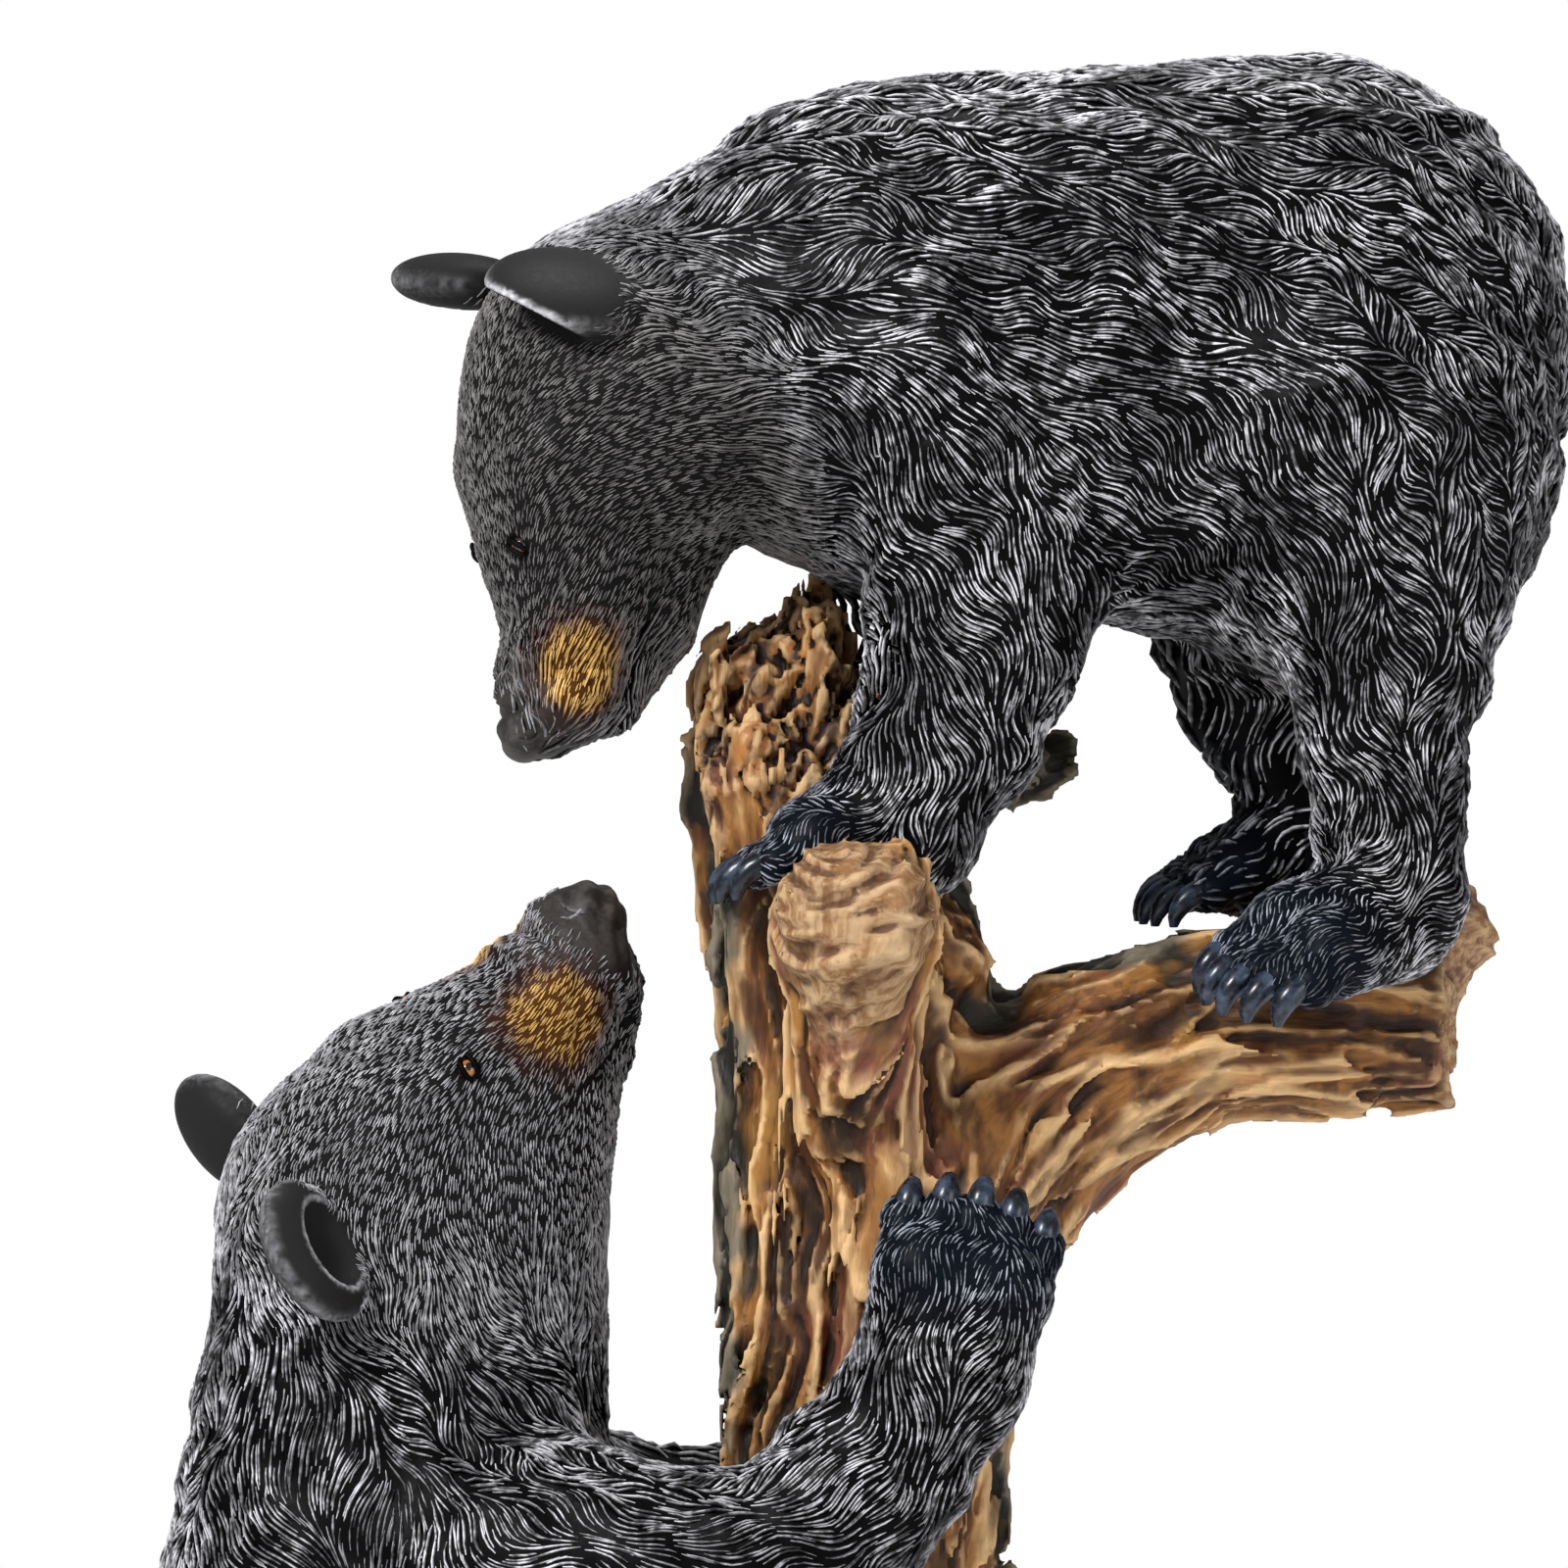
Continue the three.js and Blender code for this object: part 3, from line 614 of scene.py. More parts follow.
def crests(spot, seed):
    """Sharp crests between rounded hollows, from 0 to 1."""
    return (1 - np.clip(np.abs(lattice_noise(spot, seed)) * 2.1, 0, 1)) ** 1.3


def folds(p):
    """Carved folds that run with the grain, and knotted ones on the pale ends, from 0 to 1."""
    around, along = wood_place(p)
    warp = np.stack([lattice_noise(p / 24, seed) for seed in (31, 32, 38)], 1) * 5
    total, most = 0, 0
    for size, run, share, seed in ((11.0, 62.0, 1.0, 33), (5.2, 34.0, 0.55, 34), (2.7, 17.0, 0.25, 35)):
        spot = np.concatenate([(around + warp[:, :2]) / size, along[:, None] / run], 1)
        total = total + share * crests(spot, seed)
        most += share
    heart = np.where(p[:, :1] > 80, vec(124, 4, 381), vec(-2, -52, 421))
    ring = np.linalg.norm(p - heart + 1.2 * warp, axis=1)
    knot = crests(np.stack([ring / 5.0, p[:, 0] / 21, p[:, 2] / 21], 1), 36)
    knot = 0.7 * knot + 0.3 * crests(np.stack([ring / 2.2, p[:, 0] / 9, p[:, 2] / 9], 1), 37)
    end = cut_mark(p)
    return total / most * (1 - end) + knot * end


class Combing:
    """The lie of the hair: ways given at a few places, and blended between them."""

    def __init__(self, guides, sway):
        rows = np.array(guides, float)
        self.spot, self.reach, self.sway = rows[:, :3].copy(), rows[:, 6].copy(), sway
        self.way = np.array([unit(row[3:6]) for row in rows])

    def __call__(self, p, out):
        gap = ((p[:, None, :] - self.spot[None]) ** 2).sum(2)
        weight = np.exp(-gap / (2 * self.reach ** 2)) + 1e-9 / (1 + gap)
        way = weight @ self.way
        way -= (way * out).sum(1)[:, None] * out
        way /= np.maximum(np.linalg.norm(way, axis=1), 1e-6)[:, None]
        turn = (self.sway(p) * waves(p, HAIR_WAVE, 5))[:, None]
        return way * np.cos(turn) + np.cross(out, way) * np.sin(turn)


def calmer_near(spot, low, high, loose, calm):
    """How far the hair sways off its way, in radians: less near a spot of the face."""
    return lambda p: loose - calm * (1 - smooth(gap_to(p, spot), low, high))


def trace(form, seeds, comb, step, count):
    """Lines of 2 * count + 1 points that run both ways from each seed over the form's surface."""
    lines = np.zeros((len(seeds), 2 * count + 1, 3))
    outs = np.zeros_like(lines)
    d, out = form.sample(seeds)
    middle = seeds - out * d[:, None]
    lines[:, count], outs[:, count] = middle, out
    for sign in (1, -1):
        p, n = middle, out
        for i in range(1, count + 1):
            half = p + sign * step * 0.5 * comb(p, n)
            p = p + sign * step * comb(half, n)
            d, n = form.sample(p)
            p = p - n * d[:, None]
            lines[:, count + sign * i], outs[:, count + sign * i] = p, n
    return lines, outs


def lay_out(lines, pitch, shortest, longest, seed):
    """Picks lines that run clear of those already laid, each cut to its clear run about the middle."""
    cell = pitch * 0.4
    low = lines.reshape(-1, 3).min(0) - 2 * pitch
    q = np.floor((lines - low) / cell).astype(np.int64)
    size = q.reshape(-1, 3).max(0) + 4
    key = (q[..., 0] * size[1] + q[..., 1]) * size[2] + q[..., 2]
    taken = np.zeros(int(size.prod()), bool)
    span = np.arange(-2, 3)
    near = np.stack(np.meshgrid(span, span, span, indexing="ij"), -1).reshape(-1, 3)
    near = near[np.linalg.norm(near, axis=1) * cell < pitch * 0.74]
    offset = (near[:, 0] * size[1] + near[:, 1]) * size[2] + near[:, 2]
    rng = np.random.default_rng(seed)
    wish = rng.integers(shortest, longest + 1, len(lines))
    middle = lines.shape[1] // 2
    kept = []
    for i in range(len(lines)):
        used = taken[key[i]]
        if used[middle]:
            continue
        used = used.tolist()
        a = b = middle
        while b - a + 1 < wish[i]:
            grown = False
            if a > 0 and not used[a - 1]:
                a, grown = a - 1, True
            if b - a + 1 < wish[i] and b < len(used) - 1 and not used[b + 1]:
                b, grown = b + 1, True
            if not grown:
                break
        if b - a + 1 < shortest:
            continue
        taken[(key[i, a:b + 1][:, None] + offset[None]).ravel()] = True
        kept.append((i, a, b + 1))
    return kept


# Meshes and node trees

def new_piece(name, points, faces, marks, paint):
    """A smooth mesh in metres with its named marks at the points, riding on the part."""
    mesh = bpy.data.meshes.new(name)
    mesh.vertices.add(len(points))
    mesh.vertices.foreach_set("co", (np.asarray(points) * MM).astype(np.float32).ravel())
    mesh.loops.add(faces.size)
    mesh.loops.foreach_set("vertex_index", faces.astype(np.int32).ravel())
    mesh.polygons.add(len(faces))
    mesh.polygons.foreach_set("loop_start", np.arange(0, faces.size, faces.shape[1], dtype=np.int32))
    mesh.polygons.foreach_set("use_smooth", np.ones(len(faces), bool))
    mesh.update(calc_edges=True)
    mark_points(mesh, marks)
    mesh.materials.append(paint)
    return mount(put_in_scene(name, mesh))


def put_in_scene(name, data):
    thing = bpy.data.objects.new(name, data)
    bpy.context.scene.collection.objects.link(thing)
    return thing


def apply_modifier(piece, modifier):
    """Gives a piece the plain mesh that its modifier makes."""
    graph = bpy.context.evaluated_depsgraph_get()
    made = bpy.data.meshes.new_from_object(piece.evaluated_get(graph), preserve_all_data_layers=True,
                                           depsgraph=graph)
    piece.modifiers.remove(modifier)
    old, piece.data = piece.data, made
    bpy.data.meshes.remove(old)
    made.name = piece.name


def mark_points(mesh, marks):
    for name, values in marks.items():
        kind = "FLOAT_VECTOR" if values.ndim == 2 else "FLOAT"
        layer = mesh.attributes.new(name, kind, "POINT")
        layer.data.foreach_set("vector" if values.ndim == 2 else "value", values.astype(np.float32).ravel())


def mount(piece):
    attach(piece, "root")
    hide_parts(NODE)
    return piece


class Tree:
    """Builds a node tree: node() adds a node with its settings and joins up its inputs."""

    def __init__(self, nodes, links):
        self.nodes, self.links = nodes, links

    def node(self, kind, settings=None, inputs=None):
        node = self.nodes.new(kind)
        for name, value in (settings or {}).items():
            setattr(node, name, value)
        for name, value in (inputs or {}).items():
            self.feed(node.inputs[name], value)
        return node

    def feed(self, socket, value):
        """Links a wire, a socket or a node's first output to a socket, or sets a plain value on it."""
        value = getattr(value, "socket", value)
        if isinstance(value, bpy.types.Node):
            value = value.outputs[0]
        if isinstance(value, bpy.types.NodeSocket):
            self.links.new(value, socket)
        else:
            socket.default_value = value


def sweep_nodes(name):
    """Sweeps a ring of a few sides along each path; marks its first corner as the crest."""
    group = bpy.data.node_groups.new(name, "GeometryNodeTree")
    face = group.interface
    face.new_socket("Paths", in_out="INPUT", socket_type="NodeSocketGeometry")
    for label, kind, value in (("Girth", "Float", 1.0), ("Lift", "Float", 0.0), ("Sides", "Int", 3)):
        face.new_socket(label, in_out="INPUT", socket_type="NodeSocket" + kind).default_value = value
    face.new_socket("Paint", in_out="INPUT", socket_type="NodeSocketMaterial")
    face.new_socket("Shapes", in_out="OUTPUT", socket_type="NodeSocketGeometry")
    t = Tree(group.nodes, group.links)

    def geometry(kind, settings=None, inputs=None):
        return t.node("GeometryNode" + kind, settings, inputs)

    given = t.node("NodeGroupInput")
    rise = geometry("InputNamedAttribute", {"data_type": "FLOAT_VECTOR"}, {"Name": "rise"})
    girth = geometry("InputNamedAttribute", {"data_type": "FLOAT"}, {"Name": "girth"})
    times = {"operation": "MULTIPLY"}
    amount = t.node("ShaderNodeMath", times, {0: girth.outputs["Attribute"], 1: given.outputs["Lift"]})
    shift = t.node("ShaderNodeVectorMath", {"operation": "SCALE"},
                   {0: rise.outputs["Attribute"], "Scale": amount})
    lifted = geometry("SetPosition", None, {"Geometry": given.outputs["Paths"], "Offset": shift})
    paths = geometry("MeshToCurve", None, {"Mesh": lifted})
    turned = geometry("SetCurveNormal", {"mode": "FREE"},
                      {"Curve": paths, "Normal": rise.outputs["Attribute"]})
    wide = t.node("ShaderNodeMath", times, {0: girth.outputs["Attribute"], 1: given.outputs["Girth"]})
    ring = geometry("CurvePrimitiveCircle", {"mode": "RADIUS"},
                    {"Resolution": given.outputs["Sides"], "Radius": 1.0})
    number = geometry("InputIndex")
    first = t.node("FunctionNodeCompare", {"data_type": "INT", "operation": "EQUAL"}, {2: number, 3: 0})
    crest = geometry("StoreNamedAttribute", {"data_type": "FLOAT", "domain": "POINT"},
                     {"Geometry": ring, "Name": "crest", "Value": first})
    swept = geometry("CurveToMesh", None,
                     {"Curve": turned, "Profile Curve": crest, "Scale": wide, "Fill Caps": True})
    shaded = geometry("SetShadeSmooth", None, {"Geometry": swept, "Shade Smooth": True})
    real = geometry("RealizeInstances", None, {"Geometry": shaded})
    painted = geometry("SetMaterial", None, {"Geometry": real, "Material": given.outputs["Paint"]})
    t.node("NodeGroupOutput", None, {"Shapes": painted})
    return group


def sweep(name, paths, marks, lift, sides, paint):
    """One piece from many paths, each with its points, outward ways and girths, in mm."""
    points = np.concatenate([p[0] for p in paths])
    counts = np.array([len(p[0]) for p in paths])
    ends = np.cumsum(counts)
    first = np.arange(len(points) - 1)
    first = np.delete(first, ends[:-1] - 1)
    mesh = bpy.data.meshes.new(name)
    mesh.vertices.add(len(points))
    mesh.vertices.foreach_set("co", (points * MM).astype(np.float32).ravel())
    mesh.edges.add(len(first))
    mesh.edges.foreach_set("vertices", np.stack([first, first + 1], 1).astype(np.int32).ravel())
    mark_points(mesh, {"rise": np.concatenate([p[1] for p in paths]),
                       "girth": np.concatenate([p[2] for p in paths]) * MM, **marks(points)})
    piece = put_in_scene(name, mesh)
    modifier = piece.modifiers.new("sweep", "NODES")
    modifier.node_group = HAIR_TREE
    sizes = {"Girth": 1.0, "Lift": lift, "Sides": sides, "Paint": paint}
    for item in HAIR_TREE.interface.items_tree:
        if item.in_out == "INPUT" and item.name in sizes:
            modifier[item.identifier] = sizes[item.name]
    apply_modifier(piece, modifier)
    return mount(piece)


# Paint

def operator(operation, swapped=False):
    """A method that joins two values with a shader's math node."""
    def apply(self, other):
        return self.math(operation, other, self) if swapped else self.math(operation, self, other)
    return apply


class Wire:
    """A shader value that adds and multiplies like a number."""

    __add__, __radd__ = operator("ADD"), operator("ADD", True)
    __sub__, __rsub__ = operator("SUBTRACT"), operator("SUBTRACT", True)
    __mul__, __rmul__ = operator("MULTIPLY"), operator("MULTIPLY", True)
    __pow__ = operator("POWER")

    def __init__(self, paint, socket):
        self.paint, self.socket = paint, socket

    def math(self, operation, *values, clamp=False):
        node = self.paint.node("ShaderNodeMath", {"operation": operation, "use_clamp": clamp},
                               dict(enumerate(values)))
        return Wire(self.paint, node.outputs[0])

    def clamp(self):
        return self.math("ADD", self, 0.0, clamp=True)

    def step(self, low, high):
        node = self.paint.node("ShaderNodeMapRange", {"interpolation_type": "SMOOTHSTEP"},
                               {"Value": self, "From Min": low, "From Max": high})
        return Wire(self.paint, node.outputs[0])


class Paint(Tree):
    """One painted finish and its shader nodes."""

    def __init__(self, name):
        self.material = bpy.data.materials.new(name)
        self.material.use_nodes = True
        tree = self.material.node_tree
        super().__init__(tree.nodes, tree.links)
        self.surface = self.nodes["Principled BSDF"]
        self.put("Specular IOR Level", 0.5)

    def put(self, name, value):
        self.feed(self.surface.inputs[name], value)

    def mark(self, name):
        node = self.node("ShaderNodeAttribute", {"attribute_name": name})
        return Wire(self, node.outputs["Fac"])

    def mark_vector(self, name):
        return Wire(self, self.node("ShaderNodeAttribute", {"attribute_name": name}).outputs["Vector"])

    def place(self):
        return Wire(self, self.node("ShaderNodeTexCoord").outputs["Object"])

    def vector(self, operation, *values, output=0):
        node = self.node("ShaderNodeVectorMath", {"operation": operation}, dict(enumerate(values)))
        return Wire(self, node.outputs[output])

    def stretch(self, vector, scale):
        return self.vector("MULTIPLY", vector, scale)

    def noise(self, vector, scale, detail=3.0, roughness=0.6):
        node = self.node("ShaderNodeTexNoise", None,
                         {"Vector": vector, "Scale": scale, "Detail": detail, "Roughness": roughness})
        return Wire(self, node.outputs[0])

    def ridged(self, value, sharp):
        """Thin lines where a noise passes its middle value."""
        return (1.0 - (value * 2.0 - 1.0).math("ABSOLUTE")) ** sharp

    def mix(self, factor, first, second):
        first, second = [shade(*c) if isinstance(c, tuple) else c for c in (first, second)]
        node = self.node("ShaderNodeMix", {"data_type": "RGBA"}, {"Factor": factor, 6: first, 7: second})
        return Wire(self, node.outputs[2])

    def bump(self, height, strength, distance):
        node = self.node("ShaderNodeBump", None,
                         {"Height": height, "Strength": strength, "Distance": distance})
        self.put("Normal", node)

    def finish(self, colour, roughness):
        self.put("Base Color", colour)
        self.put("Roughness", roughness)
        return self.material


def shade(r, g, b):
    return (r, g, b, 1.0)


# Colours as linear red, green and blue: coat and face
DEEP_BLACK = (0.0008, 0.0008, 0.001)
WARM_BLACK = (0.0025, 0.0025, 0.003)
COAT_BASE = (0.006, 0.006, 0.007)
FACE_BASE = (0.007, 0.0065, 0.0065)
FACE_GROOVE = (0.008, 0.0075, 0.0075)
EAR_BLACK = (0.020, 0.019, 0.019)
MUZZLE_DARK = (0.016, 0.014, 0.013)
MUZZLE_LIGHT = (0.075, 0.066, 0.062)
# The next two colours are dry-brushed grey on the hair crests and a painted highlight on them
SILVER_BRUSH_AND_HIGHLIGHT = (0.88, 0.88, 0.94)
FACE_BRUSH_AND_HIGHLIGHT = (0.38, 0.36, 0.355)
PAW_DARK = (0.006, 0.010, 0.020)
PAW_BLUE = (0.22, 0.30, 0.46)
FRINGE_DARK = (0.035, 0.010, 0.006)
FRINGE_RED = (0.30, 0.12, 0.06)
GOLD_DARK = (0.075, 0.028, 0.006)
GOLD = (0.92, 0.56, 0.16)

# Wood, bark and ground
BURNT_OCHRE = (0.105, 0.034, 0.009)
OCHRE = (0.36, 0.155, 0.038)
MAUVE = (0.20, 0.062, 0.038)
HONEY = (0.37, 0.18, 0.038)
UMBER = (0.052, 0.021, 0.008)
# Painted shade in the creases, with the dark splits of the grain
CREASE_SHADE_AND_SPLIT = (0.010, 0.004, 0.002)
# Painted highlight on the ridges, with the cream veins of the grain
CREAM_HIGHLIGHT_AND_VEIN = (0.92, 0.60, 0.29)
CUT_TAN = (0.27, 0.130, 0.050)
CUT_CREAM = (0.58, 0.39, 0.22)
# Painted shade in the hollows of the rings on the pale ends, with the splits
CUT_RING_SHADE_AND_SPLIT = (0.10, 0.035, 0.014)
BARK_BLACK = (0.005, 0.0045, 0.003)
BARK_BROWN = (0.026, 0.023, 0.015)
# Painted highlight on the ridges of the bark, with its veins
BARK_HIGHLIGHT_AND_VEIN = (0.26, 0.215, 0.15)
SPLINTER_BROWN = (0.11, 0.034, 0.009)
SPLINTER_OCHRE = (0.46, 0.20, 0.05)
SPLINTER_RED = (0.25, 0.085, 0.04)
# Painted highlight on the raised edges of the splinters
SPLINTER_EDGE_HIGHLIGHT = (0.74, 0.50, 0.25)
# Painted shade in the cracks between splinters, with darker streaks of the grain
CRACK_SHADE_AND_STREAK = (0.008, 0.003, 0.0015)
EARTH_DARK = (0.022, 0.016, 0.010)
# Painted highlight on the ridges of the ground, with veins and tone
EARTH_HIGHLIGHT_AND_TONE = (0.15, 0.10, 0.055)

# Eyes
AMBER_DARK = (0.22, 0.05, 0.008)
AMBER = (0.62, 0.22, 0.035)
EYE_RIM = (0.02, 0.012, 0.01)
PUPIL = (0.003, 0.003, 0.003)


def coat_paint(name, hair):
    """Black paint with dry-brushed grey and painted highlights on the hair crests and ear rims, bluish paws
    and golden sides of the muzzle.
    """
    p = Paint(name)
    p.put("Specular IOR Level", 0.05)
    place = p.place()
    patchy = p.noise(place, 60.0)
    grain = p.noise(place, 800.0, 2.0)
    black = p.mix(patchy.step(0.35, 0.7), DEEP_BLACK, WARM_BLACK)
    if hair:
        crest = p.mark("crest")
        glint = p.noise(place, 330.0, 2.0).step(0.36, 0.66)
        varied = (0.26 + 0.8 * patchy.step(0.36, 0.66)) * (0.12 + 1.35 * glint)
        varied = varied + (0.45 + 0.6 * glint - varied) * p.mark("skull")
        # The crest of each hair is painted lighter than its flanks: partly dry-brushed grey, partly a painted
        # highlight, varied by noise
        ridge = ((crest ** 3.0) * varied * (0.5 + grain)).clamp()
        body = p.mix(crest, black, p.mix(p.mark("skull"), COAT_BASE, FACE_BASE))
        p.put("Coat Weight", (crest ** 2.0) * 0.55)
        p.put("Coat Roughness", 0.28)
    else:
        # Dry-brushed grey and a painted highlight on the ridges of the ears, where the surface stands out
        ridge = p.mark("ear") * p.mark("convexity").step(0.05, 0.30) * (0.2 + grain)
        body = p.mix(p.mark("skull"), black, FACE_GROOVE)
        body = p.mix(p.mark("ear"), body, EAR_BLACK)
        body = p.mix(p.mark("muzzle"), body, p.mix(grain, MUZZLE_DARK, MUZZLE_LIGHT))
    head = p.mark("face")
    grey = p.mix(head, SILVER_BRUSH_AND_HIGHLIGHT, FACE_BRUSH_AND_HIGHLIGHT)
    colour = p.mix(ridge, body, grey)
    blue = p.mix(ridge, PAW_DARK, PAW_BLUE)
    colour = p.mix(p.mark("paw") * 0.5, colour, blue)
    gold = p.mark("gold") * (0.75 + 0.5 * grain)
    fringe = p.mark("fringe") * (0.5 + 0.8 * patchy)
    colour = p.mix((fringe * 0.65).clamp(), colour, p.mix(ridge, FRINGE_DARK, FRINGE_RED))
    # Golden hairs are painted lighter at their crests too: partly the gold paint, partly a painted highlight
    gilt_and_highlight = ((crest ** 2.0) * (0.5 + 1.3 * grain)).clamp() if hair else ridge
    colour = p.mix(gold.clamp(), colour, p.mix(gilt_and_highlight, GOLD_DARK, GOLD))
    p.bump(grain, 0.25, 0.0002)
    return p.finish(colour, 0.34 + 0.22 * grain)


def wood_paint():
    """Ochre wood with cream veins and painted highlights on the ridges, painted shade and dark splits in the
    creases, mauve streaks and strips of dark bark.
    """
    p = Paint("carved_wood_paint")
    p.put("Specular IOR Level", 0.28)
    place, grain = p.place(), p.mark_vector("grain")
    long_streak = p.noise(p.stretch(grain, (1.0, 1.0, 0.16)), 170.0, 4.0)
    fine_streak = p.noise(p.stretch(grain, (1.0, 1.0, 0.12)), 620.0, 3.0)
    patch = p.noise(place, 34.0, 3.0)
    tone = p.noise(p.stretch(place, (1.0, 1.0, 0.5)), 75.0, 4.0)
    convexity = p.mark("convexity")
    vein = p.ridged(p.noise(p.stretch(grain, (1.0, 1.0, 0.13)), 300.0, 2.0, 0.5), 16.0)
    split = p.ridged(p.noise(p.stretch(grain, (-1.0, 1.0, 0.15)), 210.0, 2.5, 0.55), 20.0)
    fold, broken = p.mark("fold"), p.mark("broken")
    # Painted highlight on the crests of the folds and on raised edges, with the cream veins of the grain
    ridge = (fold.step(0.52, 0.80) * 0.8 + convexity.step(0.04, 0.24) * 0.5 + vein * 0.9).clamp()
    # Painted shade in the hollows of the folds and in creases, with the dark splits of the grain
    shade_in_creases_and_splits = ((0.42 - fold).step(0.0, 0.26) * 0.8 + (0.0 - convexity).step(0.03, 0.22) * 0.5 + split * 0.8).clamp()
    ochre = p.mix(long_streak.step(0.40, 0.60), BURNT_OCHRE, OCHRE)
    colour = p.mix(patch.step(0.49, 0.62) * 0.85, ochre, MAUVE)
    colour = p.mix(tone.step(0.54, 0.70) * 0.7, colour, HONEY)
    colour = p.mix((1.0 - tone).step(0.50, 0.62) * 0.75, colour, UMBER)
    # Painted shade in the creases
    colour = p.mix(shade_in_creases_and_splits * 0.94, colour, CREASE_SHADE_AND_SPLIT)
    # Painted highlight on the ridges
    colour = p.mix((ridge * (0.30 + 1.1 * fine_streak)).clamp() * 0.85, colour, CREAM_HIGHLIGHT_AND_VEIN)
    pale = p.mix(fine_streak.step(0.35, 0.65), CUT_TAN, CUT_CREAM)
    # On the pale ends the same painted shade darkens the hollows of the rings
    colour = p.mix(p.mark("cut") * 0.85, colour, p.mix(shade_in_creases_and_splits * 0.85, pale, CUT_RING_SHADE_AND_SPLIT))
    bark = p.mix(patch, BARK_BLACK, BARK_BROWN)
    # Painted highlight on the ridges of the bark, with its veins
    bark = p.mix((ridge * (0.3 + fine_streak)).clamp(), bark, BARK_HIGHLIGHT_AND_VEIN)
    colour = p.mix(p.mark("bark"), colour, bark)
    block = p.mix(p.mark("block").step(0.15, 0.85), SPLINTER_BROWN, SPLINTER_OCHRE)
    block = p.mix(tone.step(0.5, 0.7) * 0.5, block, SPLINTER_RED)
    # Painted highlight on the raised edges of the splinters
    block = p.mix((convexity.step(0.02, 0.20) * (0.2 + fine_streak)).clamp(), block, SPLINTER_EDGE_HIGHLIGHT)
    # Painted shade in the cracks and hollows between splinters, with darker streaks of the grain
    shade_in_cracks_and_streaks = p.mark("crack") * 0.55 + (0.0 - convexity).step(0.0, 0.14) + (1.0 - long_streak).step(0.52, 0.66) * 0.6
    block = p.mix(shade_in_cracks_and_streaks.clamp(), block, CRACK_SHADE_AND_STREAK)
    colour = p.mix(broken * (1.0 - p.mark("bark")), colour, block)
    # Painted highlight on the ridges of the ground, with veins and tone
    earth = p.mix((ridge + 0.25 * tone).clamp(), EARTH_DARK, EARTH_HIGHLIGHT_AND_TONE)
    colour = p.mix(p.mark("earth"), colour, earth)
    p.bump(long_streak * 0.6 + 0.5 * fine_streak + vein * 0.8 - split * 0.8, 0.9, 0.0009)
    return p.finish(colour, 0.46 + 0.2 * fine_streak)


def gloss_paint(name, dark, light, roughness):
    """A mottled paint with a shine, for small hard pieces."""
    p = Paint(name)
    tone = p.noise(p.place(), 260.0, 3.0)
    p.bump(p.noise(p.place(), 1200.0, 2.0), 0.2, 0.0001)
    return p.finish(p.mix(tone.step(0.4, 0.7), dark, light), roughness + 0.15 * tone)


def eye_paint(name, centre, look):
    """A black pupil in an amber ring, drawn about the line of sight."""
    p = Paint(name)
    away = p.vector("NORMALIZE", p.vector("SUBTRACT", p.place(), tuple(centre * MM)))
    facing = p.vector("DOT_PRODUCT", away, tuple(look), output="Value")
    speck = p.noise(p.place(), 2500.0, 2.0)
    amber = p.mix(speck, AMBER_DARK, AMBER)
    colour = p.mix(facing.step(0.60, 0.72), EYE_RIM, amber)
    colour = p.mix(facing.step(0.90, 0.94), colour, PUPIL)
    p.put("Coat Weight", 0.8)
    return p.finish(colour, 0.12 + 0.1 * speck)


# Tools and paints in use, and what a cub is made of

HAIR_TREE = sweep_nodes("hair_sweep")
FUR = coat_paint("brushed_and_highlit_fur_paint", True)
HIDE = coat_paint("dark_hide_paint", False)
WOOD = wood_paint()
CLAW = gloss_paint("blue_black_claw_paint", (0.006, 0.009, 0.015), (0.05, 0.075, 0.125), 0.20)
NOSE = gloss_paint("black_nose_paint", (0.012, 0.011, 0.010), (0.060, 0.052, 0.048), 0.42)
# Pale paint for thin rims along the nostrils, a painted highlight on the glossy nose
RIM_HIGHLIGHT = gloss_paint("painted_rim_highlight_paint", (0.10, 0.10, 0.11), (0.62, 0.62, 0.68), 0.25)


def patch_marks(head, middle, sizes):
    """Golden patch and its reddish fringe on both sides of a muzzle."""
    def measure(p):
        marks = []
        for grow in (1.0, 1.45):
            best = 0
            for spot in (middle, head.other_side(middle)):
                away = head.local(p) - head.local(spot)
                r = np.sqrt(((away / (np.array(sizes) * grow)) ** 2).sum(1)) + 0.12 * waves(p, 4, 3)
                best = np.maximum(best, 1 - smooth(r, 0.62, 1.08))
            marks.append(best)
        return marks
    return measure


def paw_mark(p, paws):
    """1 on the paws, fading up the wrists."""
    best = np.zeros(len(p))
    for paw in paws:
        way, _, _, length, _ = paw_frame(paw)
        away = (p - vec(*paw.wrist)) @ way
        near = gap_to(p, vec(*paw.wrist) + way * length * 0.7)
        best = np.maximum(best, smooth(away, length * 0.2, length * 0.9) * (1 - smooth(near, 22, 32)))
    return best


